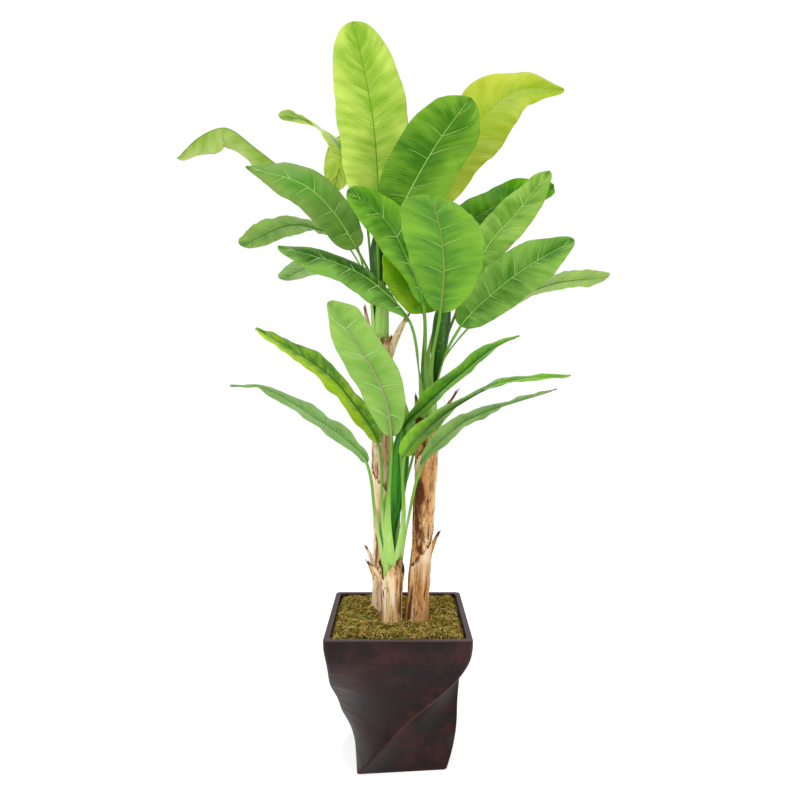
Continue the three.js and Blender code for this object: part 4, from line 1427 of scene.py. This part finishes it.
def make_leaf_tree():
    """Gives a blade its thickness, and lays side ribs on it, from the midrib out towards the margin, each
    with a thinner painted shading line beside it.
    """
    tree, given, put = new_geometry_tree(
        "Leaf Ribs", "Surface",
        [
            ("Starts", "NodeSocketObject", None),
            ("Thickness", "NodeSocketFloat", 0.0011),
            ("Slenderness", "NodeSocketFloat", 0.15),
            ("Skew", "NodeSocketFloat", 0.0),
            ("Reach", "NodeSocketFloat", 0.86),
            ("Rib Radius", "NodeSocketFloat", 0.0014),
            ("Blade Material", "NodeSocketMaterial", None),
            ("Rib Material", "NodeSocketMaterial", None),
        ],
        "Leaf",
    )
    surface = given["Surface"]
    # The blade: its upper side, and a copy of it below, joined at the margin
    normal = result(tree, "GeometryNodeInputNormal")
    down = vector_math(tree, "SCALE", normal, calc(tree, "MULTIPLY", given["Thickness"], -1.0))
    inputs = {"Mesh": surface, "Offset": down, "Offset Scale": 1.0, "Individual": False}
    lower = result(tree, "GeometryNodeExtrudeMesh", inputs, mode="FACES")
    lower = result(tree, "GeometryNodeFlipFaces", {"Mesh": lower})
    both = join(tree, store(tree, lower, "under", 1.0, "FACE"), surface)
    shell = result(tree, "GeometryNodeMergeByDistance", {"Geometry": both, "Distance": 0.00001})
    # A line for each side rib and for each painted shading line beside one, with its start along the midrib,
    # its side and its tone
    starts = add_node(tree, "GeometryNodeObjectInfo", {"Object": given["Starts"]}).outputs["Geometry"]
    line = result(tree, "GeometryNodeCurvePrimitiveLine", {"Start": (0, 0, 0), "End": (1, 0, 0)})
    line = result(tree, "GeometryNodeResampleCurve", {"Curve": line, "Count": 16})
    lines = place_copies(tree, starts, line)
    along = result(tree, "GeometryNodeSplineParameter")
    rib_start = named(tree, "rib_start")
    rib_side = named(tree, "rib_side")
    tone = named(tree, "rib_tone")
    # Its places on the blade's UV map, by the same law as the veins
    out = calc(tree, "MULTIPLY", along, given["Reach"])
    u = calc(tree, "MULTIPLY_ADD", calc(tree, "MULTIPLY", out, rib_side), 0.5, 0.5)
    slope = calc(tree, "MULTIPLY_ADD", rib_start, VEIN_GROWTH, VEIN_SLOPE)
    slope = calc(tree, "MULTIPLY_ADD", rib_side, given["Skew"], slope)
    sag = calc(tree, "MULTIPLY", calc(tree, "MULTIPLY", out, out), VEIN_SAG)
    rise = calc(tree, "SUBTRACT", calc(tree, "MULTIPLY", slope, out), sag)
    v = calc(tree, "MINIMUM", calc(tree, "MULTIPLY_ADD", rise, given["Slenderness"], rib_start), 0.985)
    uv = vector(tree, u, v)
    uv_map = named(tree, "blade", "FLOAT_VECTOR")

    def on_blade(value):
        inputs = {"Mesh": surface, "Value": value, "Source UV Map": uv_map, "Sample UV": uv}
        return result(tree, "GeometryNodeSampleUVSurface", inputs, data_type="FLOAT_VECTOR")

    on_leaf = on_blade(result(tree, "GeometryNodeInputPosition"))
    sunk = vector_math(tree, "SCALE", on_blade(normal), calc(tree, "MULTIPLY", given["Thickness"], -0.5))
    laid = result(tree, "GeometryNodeSetPosition", {"Geometry": lines, "Position": on_leaf, "Offset": sunk})
    radius = calc(tree, "MULTIPLY", given["Rib Radius"], ramp(tree, along, 0.0, 1.0, 1.0, 0.3, "LINEAR"))
    # The painted shading lines are thinner than the ribs
    radius = calc(tree, "MULTIPLY", radius, ramp(tree, tone, 3.0, 4.0, 1.0, 0.72, "LINEAR"))
    ribs = store(tree, sweep(tree, laid, radius, 6), "reach", tone)
    real = result(tree, "GeometryNodeRealizeInstances", {"Geometry": join(tree, ribs, shell)})
    bladed = cover(tree, soften(tree, real), given["Blade Material"])
    inputs = {"A": named(tree, "reach"), "B": 2.5}
    on_rib = result(tree, "FunctionNodeCompare", inputs, operation="GREATER_THAN")
    tree.links.new(cover(tree, bladed, given["Rib Material"], Selection=on_rib), put["Leaf"])
    return tree


def build_stalk(leaf, midrib, index, material):
    """One tube: the sheath that wraps the stem's core, the stalk above it and the midrib of the blade."""
    collar = midrib.collar
    marks = np.concatenate([
        np.linspace(-STALK_SUNK, 0, 6, endpoint=False),
        np.linspace(0, collar, 44, endpoint=False),
        np.linspace(collar, collar + 0.97 * midrib.blade, 44),
    ])
    centre, side, up = midrib.frame(np.maximum(marks, 0))
    foot_up = plan(leaf.turn + 180)
    below = marks < 2
    up[below] = foot_up
    side[below] = np.cross(foot_up, UP)
    centre = centre + np.minimum(marks, 0)[:, None] * UP
    # Half width and thickness: from the sheath to the stalk, and on the blade to the midrib
    sheath = 1 - smooth(0, 0.85 * collar, marks)
    on_blade = smooth(0.97, 1.03, marks / collar)
    u = np.clip((marks - collar) / midrib.blade, 0, 1)
    rib = mix(MIDRIB_HALF, MIDRIB_TIP, u)
    half = mix(mix(STALK_HALF, SHEATH_HALF[leaf.ring], sheath ** 1.6), rib, on_blade)
    thick = mix(mix(STALK_THICK, SHEATH_THICK, sheath ** 0.7), rib, on_blade)
    drop = mix(0.0, MIDRIB_DROP, on_blade) * thick
    # Every other sheath lies a little further in, inside its neighbours
    nest = 1.6 * (index % 2) * sheath
    psi = np.linspace(0, math.tau, STALK_SIDES, endpoint=False)
    x = half[:, None] * np.cos(psi)[None, :]
    groove = np.where(np.sin(psi)[None, :] > 0, 0.45 + 0.55 * on_blade[:, None], 1.0)
    y = thick[:, None] * np.sin(psi)[None, :] * groove
    # The sheath bends round the bundle of stalks
    bend = midrib.radius + 2
    arc = bend - np.sqrt(np.maximum(bend ** 2 - np.minimum(np.abs(x), bend * 0.95) ** 2, 0))
    y = y + arc * sheath[:, None] ** 0.5 - drop[:, None] - nest[:, None]
    rings = centre[:, None, :] + side[:, None, :] * x[:, :, None] + up[:, None, :] * y[:, :, None]
    vertices, faces = closed_tube(rings[:, ::-1])
    piece = new_piece(f"{leaf.name}_stalk", vertices, faces, material)
    reach = np.repeat(np.where(marks < collar, marks / collar, 1 + u), STALK_SIDES)
    set_values(piece.data, "reach", np.concatenate([reach, [0, 2]]))
    return piece


def build_leaf(leaf, index, settings):
    """A leaf's blade, side ribs and stalk, as one piece."""
    midrib = Midrib(leaf, STEMS[leaf.name.split("_")[0]])
    seed = 11.3 + 7.9 * index
    piece = build_blade(leaf, midrib, seed)
    ribs = rib_material(leaf)
    # The side ribs have the tone 3, and the painted shading lines that run beside them the tone 4: dark lines
    # are painted shade, pale ones a painted highlight
    rows = zip((-1, 1), rib_starts(leaf, seed))
    lines = [(place, side, 3) for side, places in rows for place in places]
    lines += [(place - SHADING_LINE_GAP / midrib.blade, side, 4) for place, side, _ in lines]
    starts = new_piece(f"{leaf.name}_rib_starts", [(0, 0, 0)] * len(lines), [])
    for key, values in zip(("rib_start", "rib_side", "rib_tone"), zip(*lines)):
        set_values(starts.data, key, values)
    grow(
        piece, bpy.data.node_groups.get("Leaf Ribs") or make_leaf_tree(), Starts=starts,
        Thickness=settings.thickness, Rib_Radius=settings.rib_radius,
        Slenderness=leaf.width / 2 / midrib.blade, Skew=leaf.skew,
        Rib_Material=ribs, Blade_Material=blade_material(leaf, seed),
    )
    bpy.data.objects.remove(starts)
    join_meshes(piece, build_stalk(leaf, midrib, index, ribs))
    piece.name = f"{leaf.name}_blade"
    settle(piece, leaf.name)


# Spears


SPEAR_TONES = {
    "tall": ("1e4b08", "3c6e19"),
    "middle": ("1e4b08", "3c6e19"),
    "short": ("196405", "3c8c14"),
}


def spear_material(name, deep, bright, flecks):
    """Young green, streaked along the leaf, with pale flecks across it."""
    material, tree, shader = new_material(name, Specular_IOR_Level=0.25)
    veins = speckle(tree, object_places(tree, (90, 90, 4)), 1, 3, 0.6)
    ticks = speckle(tree, object_places(tree, (60, 60, 160)), 1, 2, 0.5)
    color = blend(tree, ramp(tree, veins, 0.35, 0.7), paint(deep), paint(bright))
    color = blend(tree, ramp(tree, ticks, 0.62, 0.75, 0.0, 0.35), color, (*flecks, 1.0))
    finish_material(tree, shader, color, veins, 0.0007, 0.38)
    return material


def build_spear(name, stem, material):
    """The young leaf, still rolled: its free edge winds slowly up the outside."""
    columns = 60
    rows = 90
    top = np.array(stem.top, float)
    tip = top + stem.spear_tip
    rings = []
    for k in range(rows + 1):
        t = k / rows
        # Thin at its foot, widest above its middle, and drawn to a point
        rolled = mix(SPEAR_FOOT, stem.spear_radius, float(smooth(0.12, 0.62, t)))
        radius = rolled * math.sqrt(1.02 - float(smooth(0.7, 1, t)))
        centre = mix(top, tip, t ** stem.spear_bend)
        centre[2] = mix(top[2], tip[2], t)
        ring = []
        for i in range(columns):
            turn = 360 * i / columns
            wound = ((turn - 70 - 150 * t) / 360) % 1
            lap = 1 - SPEAR_LAP * wound + 0.012 * noisy(8 * wound, 5 * t, stem.seed)
            ring.append(centre + radius * lap * plan(turn))
        rings.append(ring)
    vertices, faces = closed_tube(np.array(rings))
    piece = new_piece(f"{name}_rolled_leaf", vertices, faces, material)
    settle(piece, f"{name}_spear")


# Stage


def build_world(fill_light):
    """Even light from all round, and white where the camera sees past the floor."""
    world = bpy.data.worlds.new("studio")
    world.use_nodes = True
    tree = world.node_tree
    sky = tree.nodes["Background"].inputs
    sky["Color"].default_value = (1, 1, 1, 1)
    seen = add_node(tree, "ShaderNodeLightPath").outputs["Is Camera Ray"]
    fill(tree, sky["Strength"], calc(tree, "MULTIPLY_ADD", seen, 1.02 - fill_light, fill_light))
    bpy.context.scene.world = world


def build_floor():
    """A white floor that fades into the background."""
    material, _, shader = new_material("floor_white", Roughness=0.9, Specular_IOR_Level=0.0)
    shader.inputs["Base Color"].default_value = (0.8, 0.8, 0.8, 1)
    shader.inputs["Emission Color"].default_value = (1, 1, 1, 1)
    shader.inputs["Emission Strength"].default_value = 0.6
    corners = [(x * FLOOR_HALF, y * FLOOR_HALF, 0) for x, y in ((-1, -1), (1, -1), (1, 1), (-1, 1))]
    new_piece("floor", corners, [(0, 1, 2, 3)], material)


def build_lamp(name, place, width, power):
    """A round soft light that looks at the middle of the plant."""
    data = bpy.data.lights.new(name, "AREA")
    data.shape = "DISK"
    data.size = width
    data.energy = power
    lamp = bpy.data.objects.new(name, data)
    lamp.location = place
    lamp.rotation_euler = (MIDDLE - Vector(place)).to_track_quat("-Z", "Y").to_euler()
    bpy.context.scene.collection.objects.link(lamp)


def build_camera(settings):
    """A level camera in front of the planter."""
    data = bpy.data.cameras.new("camera")
    data.lens = settings.lens
    data.shift_x, data.shift_y = SHIFT
    camera = bpy.data.objects.new("camera", data)
    camera.location = (0, -settings.distance, settings.eye)
    camera.rotation_euler = (math.pi / 2, 0, 0)
    bpy.context.scene.collection.objects.link(camera)
    bpy.context.scene.camera = camera


def build_stage(settings):
    """The background, the floor, the lamps and the camera."""
    bpy.context.scene.view_settings.view_transform = "Standard"
    build_world(settings.fill)
    build_floor()
    build_lamp("left", (-2.4, -2.4, 2.4), 1.5, settings.key)
    build_lamp("right", (2.5, -2.0, 2.0), 1.5, settings.key * 0.65)
    build_lamp("top", (0.0, -0.5, 4.6), 2.0, settings.key)
    build_lamp("back", (0.4, 2.6, 3.2), 2.2, settings.key * 0.5)
    build_camera(settings)


# Settings, operators and panel


class PlanterSettings(bpy.types.PropertyGroup):
    edge_round: bpy.props.FloatProperty(
        name="Edge Round", description="Rounding of the planter's rim and foot", default=0.003,
        unit="LENGTH",
    )


class MossSettings(bpy.types.PropertyGroup):
    density: bpy.props.FloatProperty(
        name="Density", description="Strands of moss on a square metre", default=42000,
    )
    length: bpy.props.FloatProperty(
        name="Length", description="Size of one curled strand", default=0.019, unit="LENGTH",
    )
    thickness: bpy.props.FloatProperty(
        name="Thickness", description="Radius of a strand at its root", default=0.0012, unit="LENGTH",
    )


class StemSettings(bpy.types.PropertyGroup):
    fibres: bpy.props.FloatProperty(
        name="Fibres", description="Loose fibres on a square metre of bark", default=1600,
    )
    length: bpy.props.FloatProperty(
        name="Length", description="Length of a loose fibre", default=0.03, unit="LENGTH",
    )


class LeafSettings(bpy.types.PropertyGroup):
    thickness: bpy.props.FloatProperty(
        name="Thickness", description="Thickness of a blade", default=0.0011, unit="LENGTH",
    )
    rib_radius: bpy.props.FloatProperty(
        name="Rib Radius", description="Radius of a side rib where it leaves the midrib", default=0.0014,
        unit="LENGTH",
    )


class SpearSettings(bpy.types.PropertyGroup):
    flecks: bpy.props.FloatVectorProperty(
        name="Flecks", description="Tone of the pale flecks on the rolled leaves",
        default=paint("8cb478")[:3], subtype="COLOR",
    )


class StageSettings(bpy.types.PropertyGroup):
    fill: bpy.props.FloatProperty(
        name="Fill", description="Strength of the even light from all round", default=0.5,
    )
    key: bpy.props.FloatProperty(name="Key", description="Power of the key light in watts", default=46)
    lens: bpy.props.FloatProperty(name="Lens", description="Focal length in millimetres", default=29.475)
    distance: bpy.props.FloatProperty(
        name="Distance", description="Level distance from the camera to the planter", default=2.086,
        unit="LENGTH",
    )
    eye: bpy.props.FloatProperty(
        name="Eye", description="Height of the camera above the floor", default=1.175, unit="LENGTH",
    )


class PLANT_OT_planter(bpy.types.Operator):
    """Builds the twisted planter"""

    bl_idname = "plant.planter"
    bl_label = "Planter"

    def execute(self, context):
        build_planter(context.scene.plant_planter)
        return {"FINISHED"}


class PLANT_OT_moss(bpy.types.Operator):
    """Builds the bed of moss"""

    bl_idname = "plant.moss"
    bl_label = "Moss"

    def execute(self, context):
        build_moss(context.scene.plant_moss)
        return {"FINISHED"}


class PLANT_OT_stems(bpy.types.Operator):
    """Builds the three bark-covered stems"""

    bl_idname = "plant.stems"
    bl_label = "Stems"

    def execute(self, context):
        make_fibre_group()
        for name, stem in STEMS.items():
            build_stem(name, stem, context.scene.plant_stem)
        return {"FINISHED"}


class PLANT_OT_spears(bpy.types.Operator):
    """Builds the rolled young leaves"""

    bl_idname = "plant.spears"
    bl_label = "Rolled Leaves"

    def execute(self, context):
        flecks = context.scene.plant_spear.flecks
        for name, stem in STEMS.items():
            build_spear(name, stem, spear_material(f"{name}_spear", *SPEAR_TONES[name], flecks))
        return {"FINISHED"}


class PLANT_OT_leaves(bpy.types.Operator):
    """Builds the leaves, each with its stalk and ribs"""

    bl_idname = "plant.leaves"
    bl_label = "Leaves"

    def execute(self, context):
        make_vein_group()
        for index, leaf in enumerate(LEAVES):
            build_leaf(leaf, index, context.scene.plant_leaf)
        return {"FINISHED"}


class PLANT_OT_stage(bpy.types.Operator):
    """Sets the floor, the lights and the camera"""

    bl_idname = "plant.stage"
    bl_label = "Stage"

    def execute(self, context):
        build_stage(context.scene.plant_stage)
        return {"FINISHED"}


SETTINGS = {
    "plant_planter": PlanterSettings,
    "plant_moss": MossSettings,
    "plant_stem": StemSettings,
    "plant_leaf": LeafSettings,
    "plant_spear": SpearSettings,
    "plant_stage": StageSettings,
}
OPERATORS = (
    PLANT_OT_planter, PLANT_OT_moss, PLANT_OT_stems, PLANT_OT_spears, PLANT_OT_leaves, PLANT_OT_stage,
)


class VIEW3D_PT_plant(bpy.types.Panel):
    """Lists the plant's settings and steps"""

    bl_label = "Banana Plant"
    bl_space_type = "VIEW_3D"
    bl_region_type = "UI"
    bl_category = "Banana Plant"

    def draw(self, context):
        for operator in OPERATORS:
            self.layout.operator(operator.bl_idname)
        for name, kind in SETTINGS.items():
            box = self.layout.box()
            for key in kind.__annotations__:
                box.prop(getattr(context.scene, name), key)


def register():
    for kind in (*SETTINGS.values(), *OPERATORS, VIEW3D_PT_plant):
        bpy.utils.register_class(kind)
    for name, kind in SETTINGS.items():
        setattr(bpy.types.Scene, name, bpy.props.PointerProperty(type=kind))


def unregister():
    for name in SETTINGS:
        delattr(bpy.types.Scene, name)
    for kind in (VIEW3D_PT_plant, *reversed(OPERATORS), *reversed(SETTINGS.values())):
        bpy.utils.unregister_class(kind)


def main():
    register()
    bpy.ops.plant.planter()
    bpy.ops.plant.moss()
    bpy.ops.plant.stems()
    bpy.ops.plant.spears()
    bpy.ops.plant.leaves()
    bpy.ops.plant.stage()


if __name__ == "__main__":
    main()
